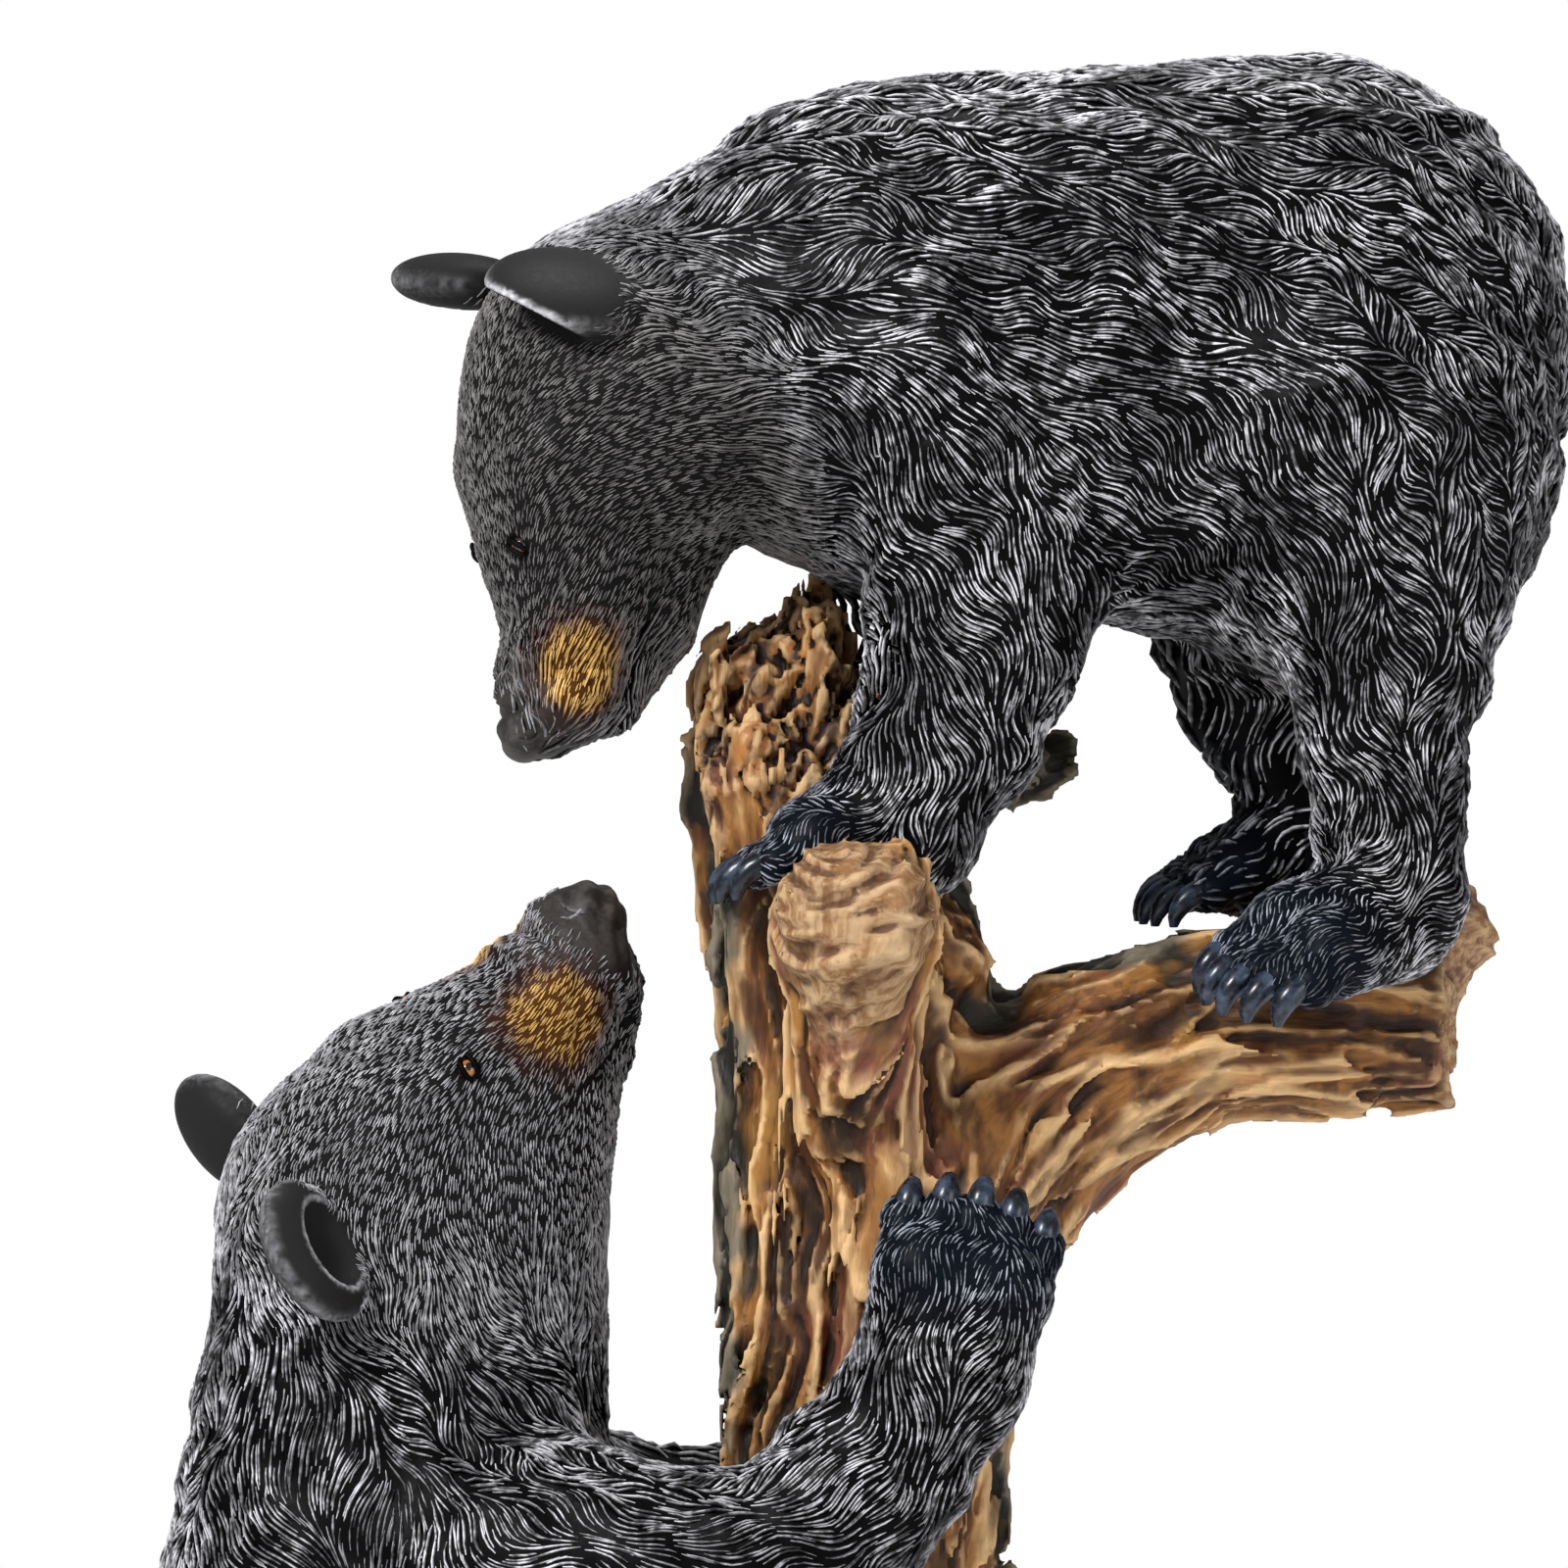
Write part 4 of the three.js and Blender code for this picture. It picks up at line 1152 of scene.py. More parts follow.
class Cub:
    """Everything that is needed to skin and comb one cub."""

    def __init__(self, name, build, head, paws, ears, combing, neck, body_box, head_box, features):
        self.name, self.build, self.head, self.paws, self.ears = name, build, head, paws, ears
        self.combing, self.neck, self.features = combing, neck, features
        self.body = Form(*body_box, BODY_CELL)
        build(self.body)
        self.face = Form(*head_box, HEAD_CELL)
        build(self.face, True)
        self.uncut_face = Form(*head_box, HEAD_CELL)
        self.uncut_face.value[:] = self.face.value
        self.eye, self.eye_out = from_front(self.face, *features.eye)
        self.gold = patch_marks(head, from_front(self.face, *features.gold)[0], features.gold_size)
        self.lips = []

    def marks(self, p):
        gold, fringe = self.gold(p)
        face = 1 - smooth(gap_to(p, self.head.at(20, 0, 0)), 42, 57)
        ear = 1 - smooth(ear_gap(p, self), 0.9, 1.15)
        muzzle = 1 - smooth(gap_to(p, self.head.at(70, 0, 9.5)), 12, 19)
        return {"gold": gold, "fringe": fringe, "face": face * self.features.dullness, "skull": face,
                "muzzle": muzzle, "paw": paw_mark(p, self.paws), "ear": ear}


def clip(form, point, way, keep_side, about=None):
    """Cuts a form flat at a plane, only round a spot if one is given, for the joint of two skins."""
    x, y, z = form.grid()
    d = keep_side * past_plane(x, y, z, vec(*point), unit(way))
    if about is not None:
        d = np.maximum(d, grid_gap(x, y, z, about) - CLIP_REACH)
    form.value = np.maximum(form.value, -d.astype(np.float32))


def skin_piece(name, form, paint, marks, keep=1.0):
    """The surface of a form as one piece, with flat stretches in fewer faces where keep is under 1."""
    points, faces = skin(form)
    table = marks(points)
    # How far each point stands out: the paints use it for painted highlights on ridges, painted shade in
    # creases and dry-brushed grey on the ears
    table["convexity"] = convexity_of(points, faces)
    piece = new_piece(name, points, faces, table, paint)
    if keep < 1:
        thin = piece.modifiers.new("fewer_faces", "DECIMATE")
        thin.ratio = keep
        apply_modifier(piece, thin)


def paw_ball(paw):
    """The middle and radius of the ball that holds one paw."""
    way, _, up, length, _ = paw_frame(paw)
    return vec(*paw.wrist) + way * length * 0.72 - up * 2, 0.55 * length + 0.42 * paw.width


def within(p, balls):
    """True where a point is in any of the balls."""
    inside = np.zeros(len(p), bool)
    for middle, radius in balls:
        inside |= gap_to(p, middle) < radius
    return inside


def part_by_ball(form, middle, radius, inside):
    """Keeps the inside of a ball, or all but it."""
    away = grid_gap(*form.grid(), middle) - radius
    form.value = np.maximum(form.value, (away if inside else -away).astype(np.float32))


def carve_mouth(cub):
    """A groove along the lips, the same on both sides of the head."""
    spots = [from_front(cub.uncut_face, *spot)[0] for spot in cub.features.mouth]
    other = [cub.head.other_side(spot) for spot in spots]
    for side in (spots, other):
        for a, b in zip(side[:-1], side[1:]):
            cub.face.carve(cone(a, 0.9, b, 0.9), 1.0)
            cub.lips += [a + (b - a) * t for t in np.arange(0, 1, 0.1)]


def seeds_on(form, count, seed):
    """Random points on the surface of a form."""
    points, _ = skin(form)
    rng = np.random.default_rng(seed)
    picked = points[rng.integers(0, len(points), count)]
    return picked + rng.normal(size=picked.shape) * form.cell * 0.4


def hair_paths(lines, outs, kept, girth, seed):
    """Tapered paths that rise from the skin and sink back at both ends."""
    rng = np.random.default_rng(seed)
    paths = []
    for i, a, b in kept:
        n = b - a
        t = np.linspace(0, 1, n)
        swell = np.clip(np.sin(np.pi * (0.06 + 0.88 * t)), 0, 1) ** 0.7
        size = girth * rng.uniform(0.85, 1.2)
        sink = (0.95 - swell) * 0.4 * size
        line, out = lines[i, a:b], outs[i, a:b]
        paths.append((line - out * sink[:, None], out, size * (0.25 + 0.75 * swell)))
    return paths


def comb_over(cub, form, kind, wanted, seed):
    """Paths of evenly spaced hairs over the wanted part of a cub, clear of the wood."""
    count, pitch, step, half, shortest, longest, girth = kind
    start = seeds_on(form, count, seed)
    start = start[wanted(start, np.random.default_rng(seed + 1))]
    lines, outs = trace(form, start, cub.combing, step, half)
    off = np.abs(form.sample(lines.reshape(-1, 3))[0]).reshape(lines.shape[:2]).max(1)
    buried = WOOD_FORM.sample(lines[:, half])[0] < -0.6
    fit = (off < 1.2) & ~buried
    lines, outs = lines[fit], outs[fit]
    kept = lay_out(lines, pitch, shortest, longest, seed + 2)
    return hair_paths(lines, outs, kept, girth, seed + 3)


# Carving of the wood

def limb_gap(p, points):
    """Distance outside a limb at each point."""
    points = np.array(points, float)
    best = np.full(len(p), 1e9)
    for a, b in zip(points[:-1], points[1:]):
        axis = b[:3] - a[:3]
        t = np.clip(((p - a[:3]) @ axis) / (axis @ axis), 0, 1)
        gap = np.linalg.norm(p - a[:3] - t[:, None] * axis, axis=1) - (a[3] + t * (b[3] - a[3]))
        best = np.minimum(best, gap)
    return best


def cell_noise(p, seed):
    """Distances to the two nearest of scattered points, and the nearest one's own number and slant."""
    table = np.random.default_rng(seed).uniform(0, 1, (1024, 7)).astype(np.float32)
    cell = np.floor(p).astype(np.int64)
    first, second = np.full(len(p), 9.0), np.full(len(p), 9.0)
    own, slant = np.zeros(len(p)), np.zeros(len(p))
    for step in itertools.product((-1, 0, 1), repeat=3):
        near = cell + step
        t = table[scramble(near)]
        away = p - near - t[:, :3]
        d = np.linalg.norm(away, axis=1)
        closer = d < first
        second = np.where(closer, first, np.minimum(second, d))
        own = np.where(closer, t[:, 3], own)
        slant = np.where(closer, (away * (t[:, 4:] - 0.5)).sum(1) * 2, slant)
        first = np.minimum(first, d)
    return first, second, own, slant


def bark_mark(p):
    """Strips of dark bark: down the sides and back of the trunk, on the branch and on the dark stub."""
    x, y, z = p.T
    cx, cy, _ = trunk_at(z)
    turn = np.degrees(np.arctan2(y - cy, x - cx))
    edge = 10 * waves(p, 22, 11) + 7 * waves(p, 8, 12)
    left = smooth(turn + edge, 172, 180) + smooth(-turn + edge, 146, 156)
    left = np.clip(left, 0, 1) * (1 - smooth(z + 0.6 * edge, 428, 446))
    right = smooth(turn + edge, -26, -16) * (1 - smooth(turn + edge, 60, 75))
    right = right * smooth(z + 0.5 * edge, 372, 382) * (1 - smooth(z, 436, 446))
    low = smooth(turn + edge, -30, -18) * (1 - smooth(turn + edge, 70, 85)) * (1 - smooth(z + edge, 286, 300))
    on_trunk = 1 - smooth(limb_gap(p, TRUNK), 6, 11)
    top = smooth(z + 0.5 * edge, 389, 394) * smooth(x + 0.6 * edge, 28, 34)
    top = top * (1 - smooth(x + 0.5 * edge, 66, 78)) * (1 - smooth(limb_gap(p, BRANCH), 7, 10))
    stub = (1 - smooth(limb_gap(p, DARK_STUB), 3, 6)) * smooth(x, 15, 19)
    back = smooth(y + edge, 10, 22) * on_trunk * (1 - smooth(z, 428, 446))
    mark = np.maximum.reduce([left * on_trunk, right * on_trunk, low * on_trunk, top, stub, 0.9 * back])
    return mark * (1 - smooth(-y, 30, 38)) * smooth(limb_gap(p, FRONT_STUB), -1, 3)


def cut_mark(p):
    """The pale sawn ends of the branch and the stubs."""
    x, y, z = p.T
    front = smooth(-y + 3 * waves(p, 12, 15), 40, 50) * (1 - smooth(np.abs(x), 22, 26)) * (z > 376)
    right = smooth(x, 117, 121)
    return np.maximum(front, right)


def earth_mark(p):
    """The ground colour at the foot."""
    z = p[:, 2] + 4 * waves(p, 30, 14)
    return 1 - smooth(z, 12, 20)


def wood_place(p):
    """Place in the grain: two lengths across it, and one along it that bends into the branch."""
    x, y, z = p.T
    rise = np.maximum(z - 330, 0) * smooth(x, -25, 40)
    run = np.minimum(x - 78, 0)
    share = np.arctan2(rise, -run) / (np.pi / 2)
    across = 78 - np.hypot(run, rise)
    turn = 0.010 * np.minimum(z, 330)
    around = np.stack([across * np.cos(turn) + y * np.sin(turn), y * np.cos(turn) - across * np.sin(turn)], 1)
    return around, z * (1 - share) + (x + 330) * share


def top_mark(p):
    """The broken top of the trunk."""
    return smooth(p[:, 2] + 0.4 * p[:, 0] + 5 * waves(p, 14, 16), 414, 424) * (p[:, 0] < 16)


def wood_marks(p):
    """Marks for the paint, with the grain's own place: round the limb, through it and along it."""
    flat, along = wood_place(p)
    grain = np.stack([flat[:, 0], flat[:, 1], along], 1) * MM
    block, crack, _ = blocks(p)
    return {"bark": bark_mark(p), "cut": cut_mark(p), "earth": earth_mark(p), "grain": grain,
            "fold": folds(p), "broken": top_mark(p), "block": block, "crack": crack}


def blocks(p):
    """Splinters of the broken top: each one's tone, 1 in the cracks between them, and their slant."""
    turned = p @ np.array([[0.94, 0.1, 0.33], [-0.05, 0.99, -0.1], [-0.33, 0.08, 0.94]])
    first, second, own, slant = cell_noise(turned / (4.2, 4.2, 12.0), 24)
    return own, 1 - smooth(second - first, 0.0, 0.14), slant


def carve_wood(form):
    """Folds along the grain, bark, splintered blocks at the broken top, and a flat underside."""
    z = form.grid()[2]
    near = np.argwhere(np.abs(form.value) < 7)
    p = form.low + near * form.cell
    bark, broken = bark_mark(p), top_mark(p)
    rough = 0.6 * lattice_noise(p / 6.5, 21) + 0.35 * lattice_noise(p / 3.1, 22)
    fold = (folds(p) - 0.62) * (5.2 - 2.4 * cut_mark(p))
    strip = 1.6 * bark * (lattice_noise(p / (5, 5, 12), 23) - 0.6)
    own, crack, slant = blocks(p)
    block = (own - 0.6) * 5.0 + 3.6 * slant - 0.7 * crack + 0.9 * lattice_noise(p / 2.6, 25)
    change = (fold + rough) * (1 - broken) + strip + broken * (block + 0.5 * rough)
    form.value[tuple(near.T)] -= (change * smooth(p[:, 2], 1, 6)).astype(np.float32)
    form.value[:] = np.maximum(form.value, (0 - z).astype(np.float32))


# Claws, the lie of the hair and the two cubs

def claw_paths(paws):
    """A curved claw at the end of each toe; the gripping hands show only short, blunt tips."""
    paths = []
    for paw in paws:
        short = 0.62 if paw in LOWER_HANDS else 0.9
        way, _, up, _, toes = paw_frame(paw)
        toe = paw.toe
        for _, end in toes:
            start = end + up * (1.0 + toe * 0.15) + way * (2.6 + toe * 0.35)
            t = np.linspace(0, 1, 7)[:, None]
            reach = (7.0 + 0.3 * toe) * short
            line = start + way * reach * np.sin(t * 1.45) - up * reach * 0.95 * (1 - np.cos(t * 1.45))
            girth = toe * 0.56 * (1 - 0.66 * t[:, 0] ** 2.4)
            rise = up * np.cos(t * 1.45) + way * np.sin(t * 1.45)
            paths.append((line, rise, girth))
    return paths


# The coarse tree tells where fur is hidden by wood
WOOD_FORM = Form((-110, -95, -6), (140, 95, 482), 2.2)
tree(WOOD_FORM)

# Each guide is a place, the way the hair runs there, and how far the guide reaches
UPPER_COMB = Combing([
    (-30, -25, 540, 0.93, 0, 0.30, 22), (-20, -35, 512, 0.97, 0, -0.12, 18),
    (-12, -28, 486, 0.80, 0, -0.60, 13), (15, -25, 568, 1, 0, 0.05, 25),
    (30, -45, 532, 0.96, 0, -0.22, 25), (70, -20, 575, 1, 0, -0.10, 28),
    (75, -48, 528, 0.85, 0, -0.48, 25), (65, -35, 482, 0.72, 0, -0.68, 16),
    (118, -20, 566, 0.84, 0, -0.5, 20), (118, -45, 525, 0.62, 0, -0.78, 22),
    (144, -10, 520, 0.12, 0, -1, 18), (105, -45, 480, 0.30, 0, -0.95, 18),
    (106, -38, 445, 0.10, 0, -1, 16), (25, -45, 495, 0.55, 0, -0.83, 14),
    (24, -42, 465, 0.50, 0, -0.86, 14), (12, -38, 432, -0.25, 0, -0.97, 10),
    (-12, -30, 420, -0.95, 0, -0.3, 10), (95, -35, 405, -0.85, -0.3, -0.5, 12),
    (30, 45, 530, 0.93, 0, -0.4, 25), (85, 48, 520, 0.75, 0, -0.66, 25), (15, 35, 460, 0.2, 0, -1, 20),
    (85, 35, 460, 0, 0, -1, 20), (75, 20, 412, -0.9, 0, -0.35, 12), (-10, 28, 424, -0.95, 0, -0.3, 10),
    (-50, -20, 545, 0.75, 0, 0.65, 12), (-72, -5, 520, 0.12, 0, 1, 14), (-78, -12, 480, 0.1, 0, 1, 16),
    (-60, -15, 450, 0.25, 0, 0.97, 14), (-48, -38, 500, 0.72, 0, 0.55, 12),
    (-36, -28, 470, 0.72, 0, 0.60, 12), (-52, -25, 470, 0.5, 0, 0.86, 10),
    (-30, 20, 500, 0.9, 0.2, 0.2, 20), (-55, 25, 500, 0.5, 0.2, 0.8, 14),
], calmer_near(UPPER_HEAD.at(20, 0, 0), 36, 58, 1.15, 0.90))

LOWER_COMB = Combing([
    (-60, -25, 388, -0.62, 0, -0.78, 14), (-85, -30, 385, -0.80, -0.1, -0.6, 12),
    (-95, -38, 362, -0.55, 0, -0.83, 12), (-75, -38, 352, -0.20, 0, -0.98, 12),
    (-60, -30, 340, 0.05, 0, -1, 10), (-80, -42, 330, 0.45, 0, -0.89, 12),
    (-70, -38, 312, 0.86, 0, -0.50, 11), (-100, -38, 300, 0.42, 0, -0.9, 14),
    (-128, -15, 335, -0.05, 0, -1, 16), (-132, -10, 295, -0.05, 0, -1, 16),
    (-105, -45, 268, 0.30, 0, -0.95, 18), (-72, -45, 285, 0.55, 0, -0.83, 12),
    (-52, -48, 270, 0.9, 0, -0.35, 14), (-25, -55, 268, 0.97, 0, 0.1, 14),
    (-2, -55, 282, 0.80, 0, 0.58, 12), (12, -52, 305, 0.45, 0, 0.9, 12), (22, -52, 330, 0.15, 0, 1, 12),
    (-105, -45, 220, 0.1, 0, -1, 22), (-60, -30, 230, 0.3, 0, -0.95, 20),
    (-85, -45, 165, 0.45, 0, -0.9, 20), (-50, -50, 165, 0.9, 0, -0.25, 16),
    (-28, -50, 140, 0.05, 0, -1, 14), (-10, -52, 114, 1, 0, -0.1, 10), (-105, 45, 268, 0.1, 0, -1, 22),
    (-30, 50, 268, 0.97, 0, 0.1, 18), (8, 50, 300, 0.5, 0, 0.86, 14), (-95, 45, 180, 0.1, 0, -1, 25),
    (-50, 50, 165, 0.9, 0, -0.25, 16), (-28, 50, 140, 0.05, 0, -1, 14), (-10, 52, 114, 1, 0, -0.1, 10),
    (-100, 35, 350, -0.5, 0.1, -0.85, 16), (-60, 20, 370, -0.6, 0, -0.8, 16), (-55, 0, 350, 0, 0, -1, 12),
    (-140, 0, 230, 0, 0, -1, 25), (-120, 0, 130, 0.6, 0, -0.8, 20),
], calmer_near(LOWER_HEAD.at(25, 0, 0), 34, 56, 1.05, 0.80))

# Places as the camera sees them: x and z on the plane y = 0. The gold size is along, out and up;
# dullness takes the brushed grey and painted highlight down over the face.
Features = namedtuple("Features", "gold gold_size eye eye_way eye_size eye_half opening turned "
                      "nostril rim mouth dullness")

upper = Cub("upper_cub", upper_cub, UPPER_HEAD, UPPER_PAWS, UPPER_EARS, UPPER_COMB,
            ((-22, 0, 512), (-0.85, 0, -0.5)),
            ((-70, -62, 378), (156, 62, 592)), ((-108, -62, 422), (-6, 46, 562)),
            Features(gold=(-56.6, 454.0), gold_size=(10.5, 9.0, 8.5),
                     eye=(-69.4, 478.4), eye_way=(1, 0, -0.25), eye_size=2.0, eye_half=2.6,
                     opening=0.45, turned=0.2, nostril=(-67.0, 441.4),
                     rim=[(-66.4, 444.2), (-65.2, 443.4), (-64.2, 442.2), (-63.7, 441.0), (-63.7, 439.8)],
                     mouth=[(-41.6, 470), (-43.4, 461.6), (-45.4, 454), (-47.2, 449), (-49.8, 442.6)],
                     dullness=1.0))
lower = Cub("lower_cub", lower_cub, LOWER_HEAD, LOWER_FEET + LOWER_HANDS, LOWER_EARS, LOWER_COMB,
            ((-95, 0, 306), (0.25, 0, 0.97)),
            ((-158, -76, 84), (56, 76, 360)), ((-158, -66, 292), (-34, 62, 428)),
            Features(gold=(-62.0, 382.4), gold_size=(10.5, 9.0, 12.0),
                     eye=(-79.4, 372.0), eye_way=(0.42, 0, -0.9), eye_size=2.3, eye_half=2.7,
                     opening=0.95, turned=0.1, nostril=(-57.4, 400.2),
                     rim=[(-60.4, 402.8), (-58.8, 402.6), (-57.4, 403.2), (-56.4, 404.4)],
                     mouth=[(-46, 389), (-47, 382), (-50.6, 374.4), (-55, 369), (-59, 364)],
                     dullness=0.25))


# Eyes, nose, hair and paws

def lid_paths(spot, out, long_way, half, opening, girth):
    """Two rolled lids that meet at the corners of an eye."""
    along = unit(long_way - (long_way @ out) * out)
    across = np.cross(out, along)
    paths = []
    for side in (-1, 1):
        t = np.linspace(0, np.pi, 10)
        bow = np.sin(t)
        line = (spot + out * (0.15 + 0.5 * bow)[:, None] + along * (half * np.cos(t))[:, None]
                + across * (side * (opening * bow + girth * 0.75))[:, None])
        paths.append((line, np.tile(out, (10, 1)), girth * (0.45 + 0.55 * bow)))
    return paths


def eyes_and_lids(cub):
    """Both eyes of a cub: a painted ball in a socket, with an upper and a lower lid."""
    features, axes = cub.features, cub.head.axes
    size, half, long_way = features.eye_size, features.eye_half, vec(*features.eye_way)
    f, l, u = axes @ cub.eye_out
    a, b, c = axes @ long_way
    lids = []
    for side, where, way, along in (("near", cub.eye, cub.eye_out, long_way),
                                    ("far", cub.head.other_side(cub.eye), axes.T @ vec(f, -l, u),
                                     axes.T @ vec(a, -b, c))):
        cub.face.carve(Ball(where + way * 0.3, (half * 0.8,) * 3), 1.0)
        centre = where - way * size * 0.62
        name = cub.name + "_eye_" + side
        ball = bmesh.new()
        bmesh.ops.create_uvsphere(ball, u_segments=24, v_segments=14, radius=size * MM)
        bmesh.ops.translate(ball, verts=ball.verts, vec=tuple(centre * MM))
        mesh = bpy.data.meshes.new(name)
        ball.to_mesh(mesh)
        ball.free()
        mesh.polygons.foreach_set("use_smooth", [True] * len(mesh.polygons))
        look = unit(way + features.turned * cub.head.forward)
        mesh.materials.append(eye_paint(name + "_paint", centre, look))
        mount(put_in_scene(name, mesh))
        lids += lid_paths(where, way, along, half, features.opening, 0.62)
    sweep(cub.name + "_eyelids", lids, lambda p: {"face": np.ones(len(p))}, 0.0, 6, HIDE)


def nose_piece(cub):
    """The bare nose with its two nostrils and the groove between them."""
    head = cub.head
    middle = head.at(70.5, 0, 5.5)
    nose = Form(middle - 15, middle + 15, NOSE_CELL)
    cub.build(nose)
    near, _ = from_front(nose, *cub.features.nostril)
    for spot in (near, head.other_side(near)):
        nose.carve(Ball(spot, (2.2, 2.0, 1.8), head.axes), 1.0)
        nose.carve(cone(spot, 1.1, spot - head.forward * 4.0 - head.up * 1.5, 0.5), 0.8)
    nose.carve(cone(head.at(77.6, 0, 5.6), 0.5, head.at(74.5, 0, -2.5), 0.6), 0.6)
    found = [from_front(nose, *spot) for spot in cub.features.rim]
    found = [hit for hit in found if abs(hit[0][1] - head.origin[1]) < 60]
    spots, outs = np.array([spot for spot, _ in found]), np.array([out for _, out in found])
    others = np.array([head.other_side(spot) for spot in spots])
    gap, turned = nose.sample(others)
    others = others - turned * gap[:, None]
    girth = 0.42 * (0.45 + 0.55 * np.sin(np.linspace(0.3, np.pi - 0.3, len(found))))
    rims = [(spots + outs * 0.1, outs, girth), (others + turned * 0.1, turned, girth)]
    # Painted highlight: thin pale rims along the edges of the nostrils
    sweep(cub.name + "_nose_rims", rims, no_marks, 0.0, 6, RIM_HIGHLIGHT)
    part_by_ball(nose, head.at(*NOSE_SPOT), NOSE_BALL, True)
    part_by_ball(cub.face, head.at(*NOSE_SPOT), NOSE_GAP, False)
    skin_piece(cub.name + "_nose", nose, NOSE, no_marks, 0.6)


def on_head(p, cub):
    """Distance from the middle of the head."""
    return gap_to(p, cub.head.at(16, 0, 0))


def ear_gap(p, cub):
    """Under 1 inside the flat ball that holds an ear."""
    gap = np.full(len(p), 99.0)
    for ear in cub.ears:
        length, axes, root = ear_axes(ear)
        away = (p - (root + axes[0] * length * 0.60)) @ axes.T / (length * 0.56, ear.width + 1, 8.5)
        gap = np.minimum(gap, np.linalg.norm(away, axis=1))
    return gap


def bare(p, cub):
    """True at the nose, the eyes, the lips and the ears, which carry no hair."""
    nose = gap_to(p, cub.head.at(*NOSE_SPOT)) < 10.8 + 1.2 * lattice_noise(p / 2.0, 74)
    eyes = np.zeros(len(p), bool)
    for spot in (cub.eye, cub.head.other_side(cub.eye)):
        eyes |= gap_to(p, spot) < 3.0
    lips = np.zeros(len(p), bool)
    for spot in cub.lips:
        lips |= gap_to(p, spot) < 1.25
    return nose | eyes | lips | (ear_gap(p, cub) < 1.0)


def dress_paws(cub, balls):
    """A skin for each paw, cut out of the body by a ball, and the hair of all four."""
    hairs = []
    for k, (paw, (middle, radius)) in enumerate(zip(cub.paws, balls)):
        near = paw.wrist[1] < 0
        form = Form(middle - radius - 5, middle + radius + 5, PAW_CELL if near else PAW_CELL * 1.6)
        cub.build(form)
        kind = PAW_HAIR if near else FAR_PAW_HAIR
        hairs += comb_over(cub, form, kind, lambda p, rng: within(p, [(middle, radius - 0.5)]), 91 + k)
        part_by_ball(form, middle, radius, True)
        part_by_ball(cub.body, middle, radius - WRIST_OVERLAP, False)
        skin_piece(cub.name + "_paw_" + str(k + 1), form, HIDE, cub.marks, 0.7)
    sweep(cub.name + "_paw_hair", hairs, cub.marks, FACE_LIFT, 3, FUR)


def dress(cub):
    """All pieces of a cub but the eyes: hair, claws, paws, nose and skins."""
    balls = [paw_ball(paw) for paw in cub.paws]

    def facial(p, rng):
        return (on_head(p, cub) + 7 * rng.uniform(-1, 1, len(p)) < FACE_REACH) & ~bare(p, cub) & (p[:, 1] < 5)

    def far_facial(p, rng):
        return (on_head(p, cub) < FACE_REACH) & ~bare(p, cub) & (p[:, 1] > 4)

    def coated(p, rng):
        gap = on_head(p, cub) + 7 * rng.uniform(-1, 1, len(p))
        seen = (p[:, 1] < 8) & (p[:, 2] + 8 * rng.uniform(-1, 1, len(p)) > 256)
        full = lattice_noise(p / 4.4, 72) + 0.25 * rng.uniform(-1, 1, len(p)) < 0.33
        return (gap >= COAT_START) & seen & full & ~bare(p, cub) & ~within(p, balls)

    def behind(p, rng):
        hidden = (p[:, 1] >= 6) | (p[:, 2] < 258)
        return (on_head(p, cub) >= COAT_START) & hidden & ~bare(p, cub) & ~within(p, balls)

    coat = comb_over(cub, cub.body, NEAR_COAT, coated, seed=31)
    back = comb_over(cub, cub.body, BACK_COAT, behind, seed=41)
    hair = comb_over(cub, cub.face, FACE_HAIR, facial, seed=51)
    hair += comb_over(cub, cub.face, FAR_FACE_HAIR, far_facial, seed=55)
    sweep(cub.name + "_coat", coat, cub.marks, COAT_LIFT, 3, FUR)
    sweep(cub.name + "_back_coat", back, cub.marks, COAT_LIFT, 3, FUR)
    sweep(cub.name + "_face_hair", hair, cub.marks, FACE_LIFT, 3, FUR)
    sweep(cub.name + "_claws", claw_paths(cub.paws), no_marks, 0.0, 8, CLAW)
    dress_paws(cub, balls)
    nose_piece(cub)
    point, way = cub.neck
    clip(cub.body, vec(*point) + unit(way) * NECK_OVERLAP, way, -1, cub.head.origin)
    clip(cub.face, vec(*point) - unit(way) * NECK_OVERLAP, way, 1)
    skin_piece(cub.name + "_body_skin", cub.body, HIDE, cub.marks)
    skin_piece(cub.name + "_head_skin", cub.face, HIDE, cub.marks, 0.45)


def wood_piece(name, low, high, cell, cut, keep_side, keep=1.0):
    """One length of the tree with its carving, cut flat where it meets the other."""
    form = Form(low, high, cell)
    tree(form)
    carve_wood(form)
    clip(form, (0, 0, cut), (0, 0, 1), keep_side)
    skin_piece(name, form, WOOD, wood_marks, keep)


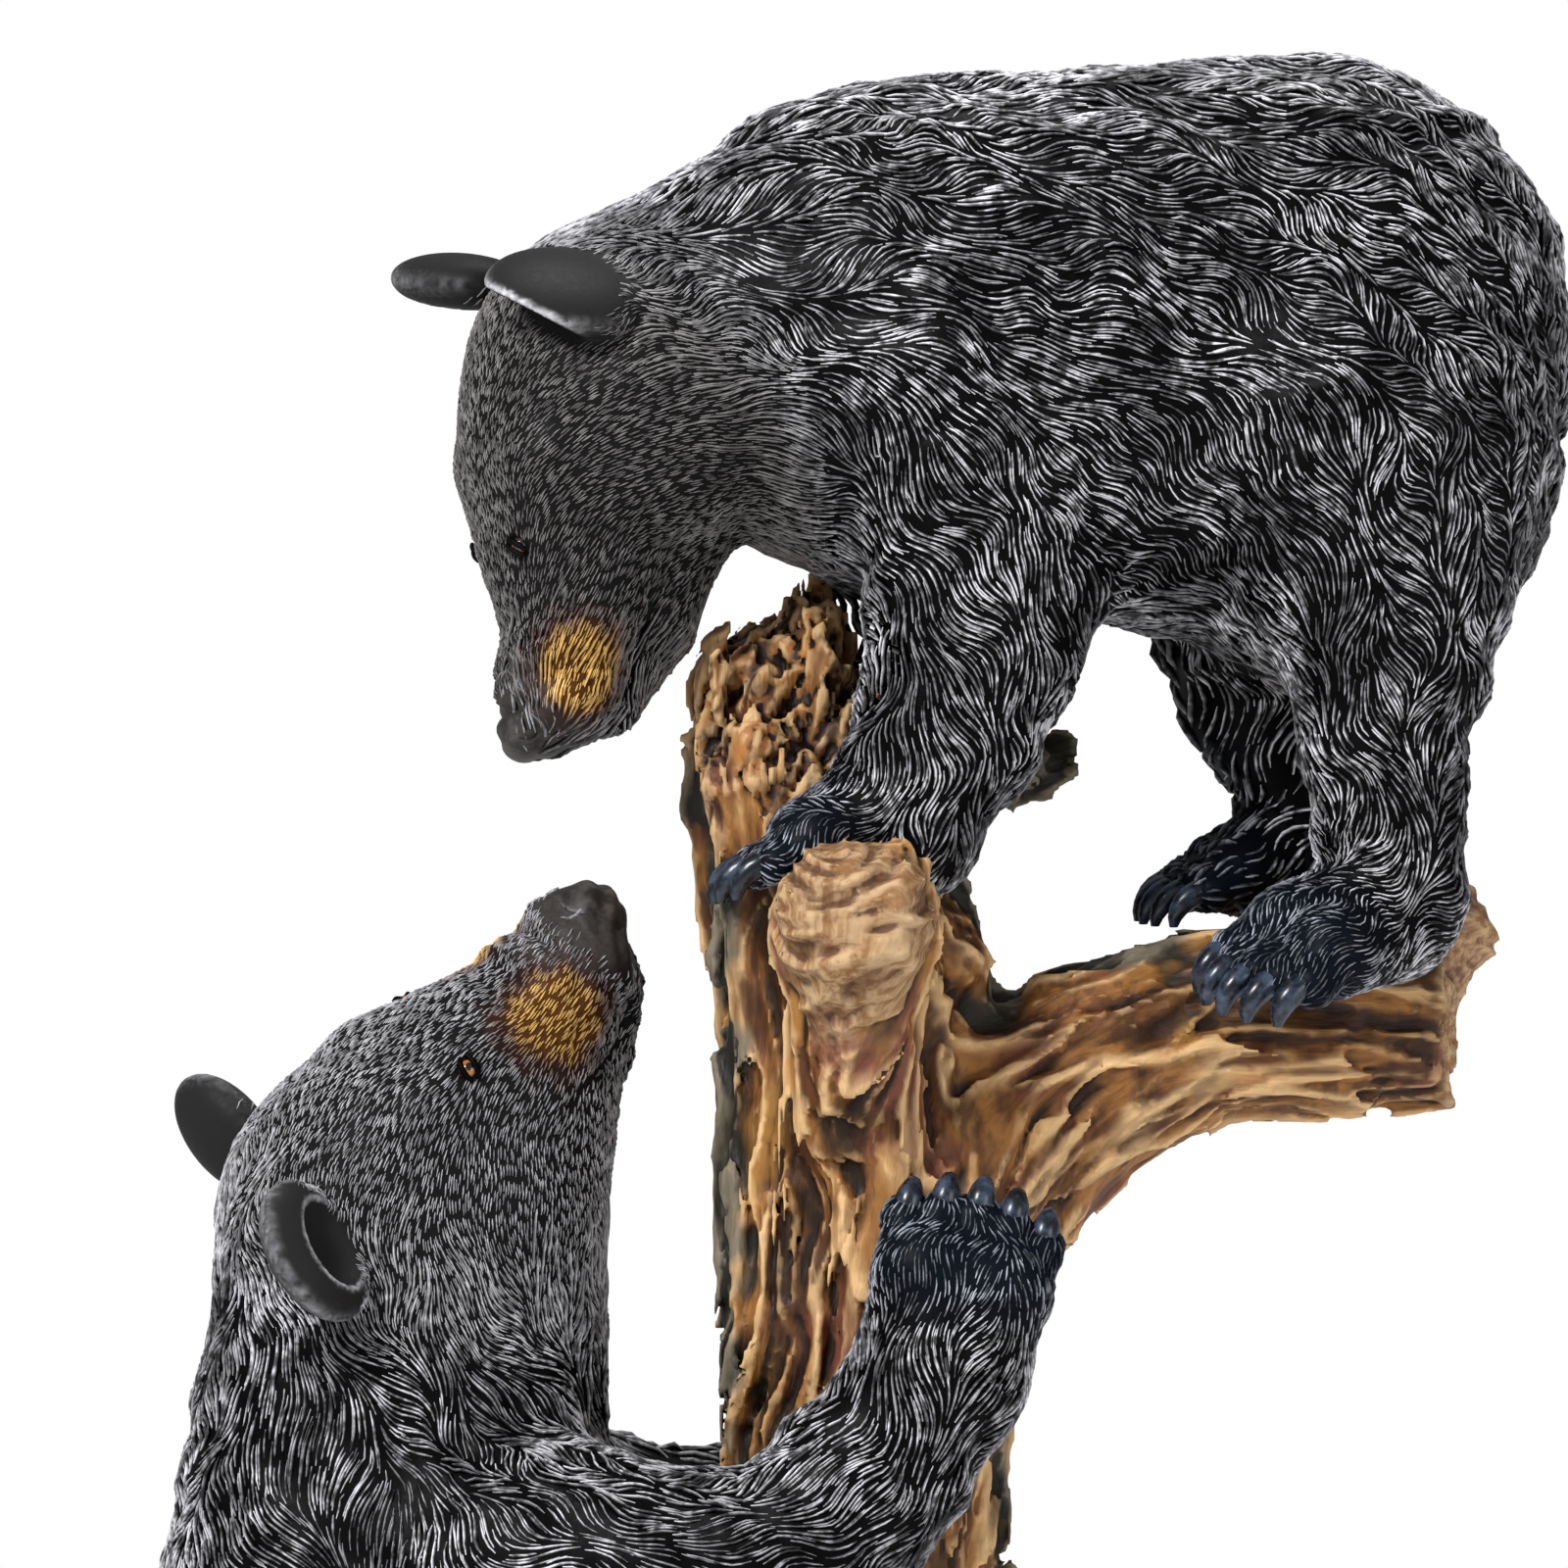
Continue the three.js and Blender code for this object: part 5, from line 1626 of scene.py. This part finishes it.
for make in (eyes_and_lids, carve_mouth, dress):
    make(upper)
    make(lower)
wood_piece("upper_trunk_and_branch", (-60, -76, 236), (134, 60, 482), WOOD_CELL, TREE_JOINT, 1, 0.60)
wood_piece("lower_trunk_and_base", (-108, -94, -8), (108, 94, 248), FOOT_CELL, TREE_JOINT + TREE_OVERLAP, -1)


# Floor, light and camera

scene = bpy.context.scene
bpy.ops.mesh.primitive_plane_add(size=8.0, location=(0, 0, 0))
floor = bpy.context.object
floor.name = "studio_floor"
floor_paint = Paint("pale_studio_floor")
floor.data.materials.append(floor_paint.finish(shade(0.85, 0.85, 0.85), 0.8))

world = bpy.data.worlds.new("studio")
scene.world = world
world.use_nodes = True
sky = Tree(world.node_tree.nodes, world.node_tree.links)
seen = sky.node("ShaderNodeLightPath")
soft = sky.node("ShaderNodeBackground", None, {"Color": shade(1, 1, 1), "Strength": 0.30})
backdrop = sky.node("ShaderNodeBackground", None, {"Color": shade(1, 1, 1), "Strength": 1.0})
both = sky.node("ShaderNodeMixShader", None,
                {0: seen.outputs["Is Camera Ray"], 1: soft, 2: backdrop})
sky.feed(sky.nodes["World Output"].inputs["Surface"], both)


def soft_light(name, place, aim, size, power):
    lamp = bpy.data.lights.new(name, "AREA")
    lamp.shape, lamp.size, lamp.energy = "SQUARE", size, power
    light = put_in_scene(name, lamp)
    light.location = place
    way = np.array(aim) - np.array(place)
    light.rotation_euler = (math.acos(-way[2] / np.linalg.norm(way)), 0, math.atan2(-way[0], way[1]))
    return light


soft_light("key_light", (-1.1, -1.3, 1.7), (0, 0, 0.42), 0.45, 44)
soft_light("fill_light", (1.4, -1.4, 0.8), (0, 0, 0.42), 0.9, 9)
soft_light("top_light", (0.2, 0.3, 1.9), (0, 0, 0.45), 0.7, 12)

camera = put_in_scene("camera", bpy.data.cameras.new("camera"))
camera.location = (-0.015, -2.4, 0.430)
camera.rotation_euler = (math.pi / 2, 0, 0)
camera.data.sensor_width = 36
camera.data.lens = 36 / 0.320 * 2.4
camera.data.clip_end = 50
scene.camera = camera
scene.view_settings.view_transform = "Standard"
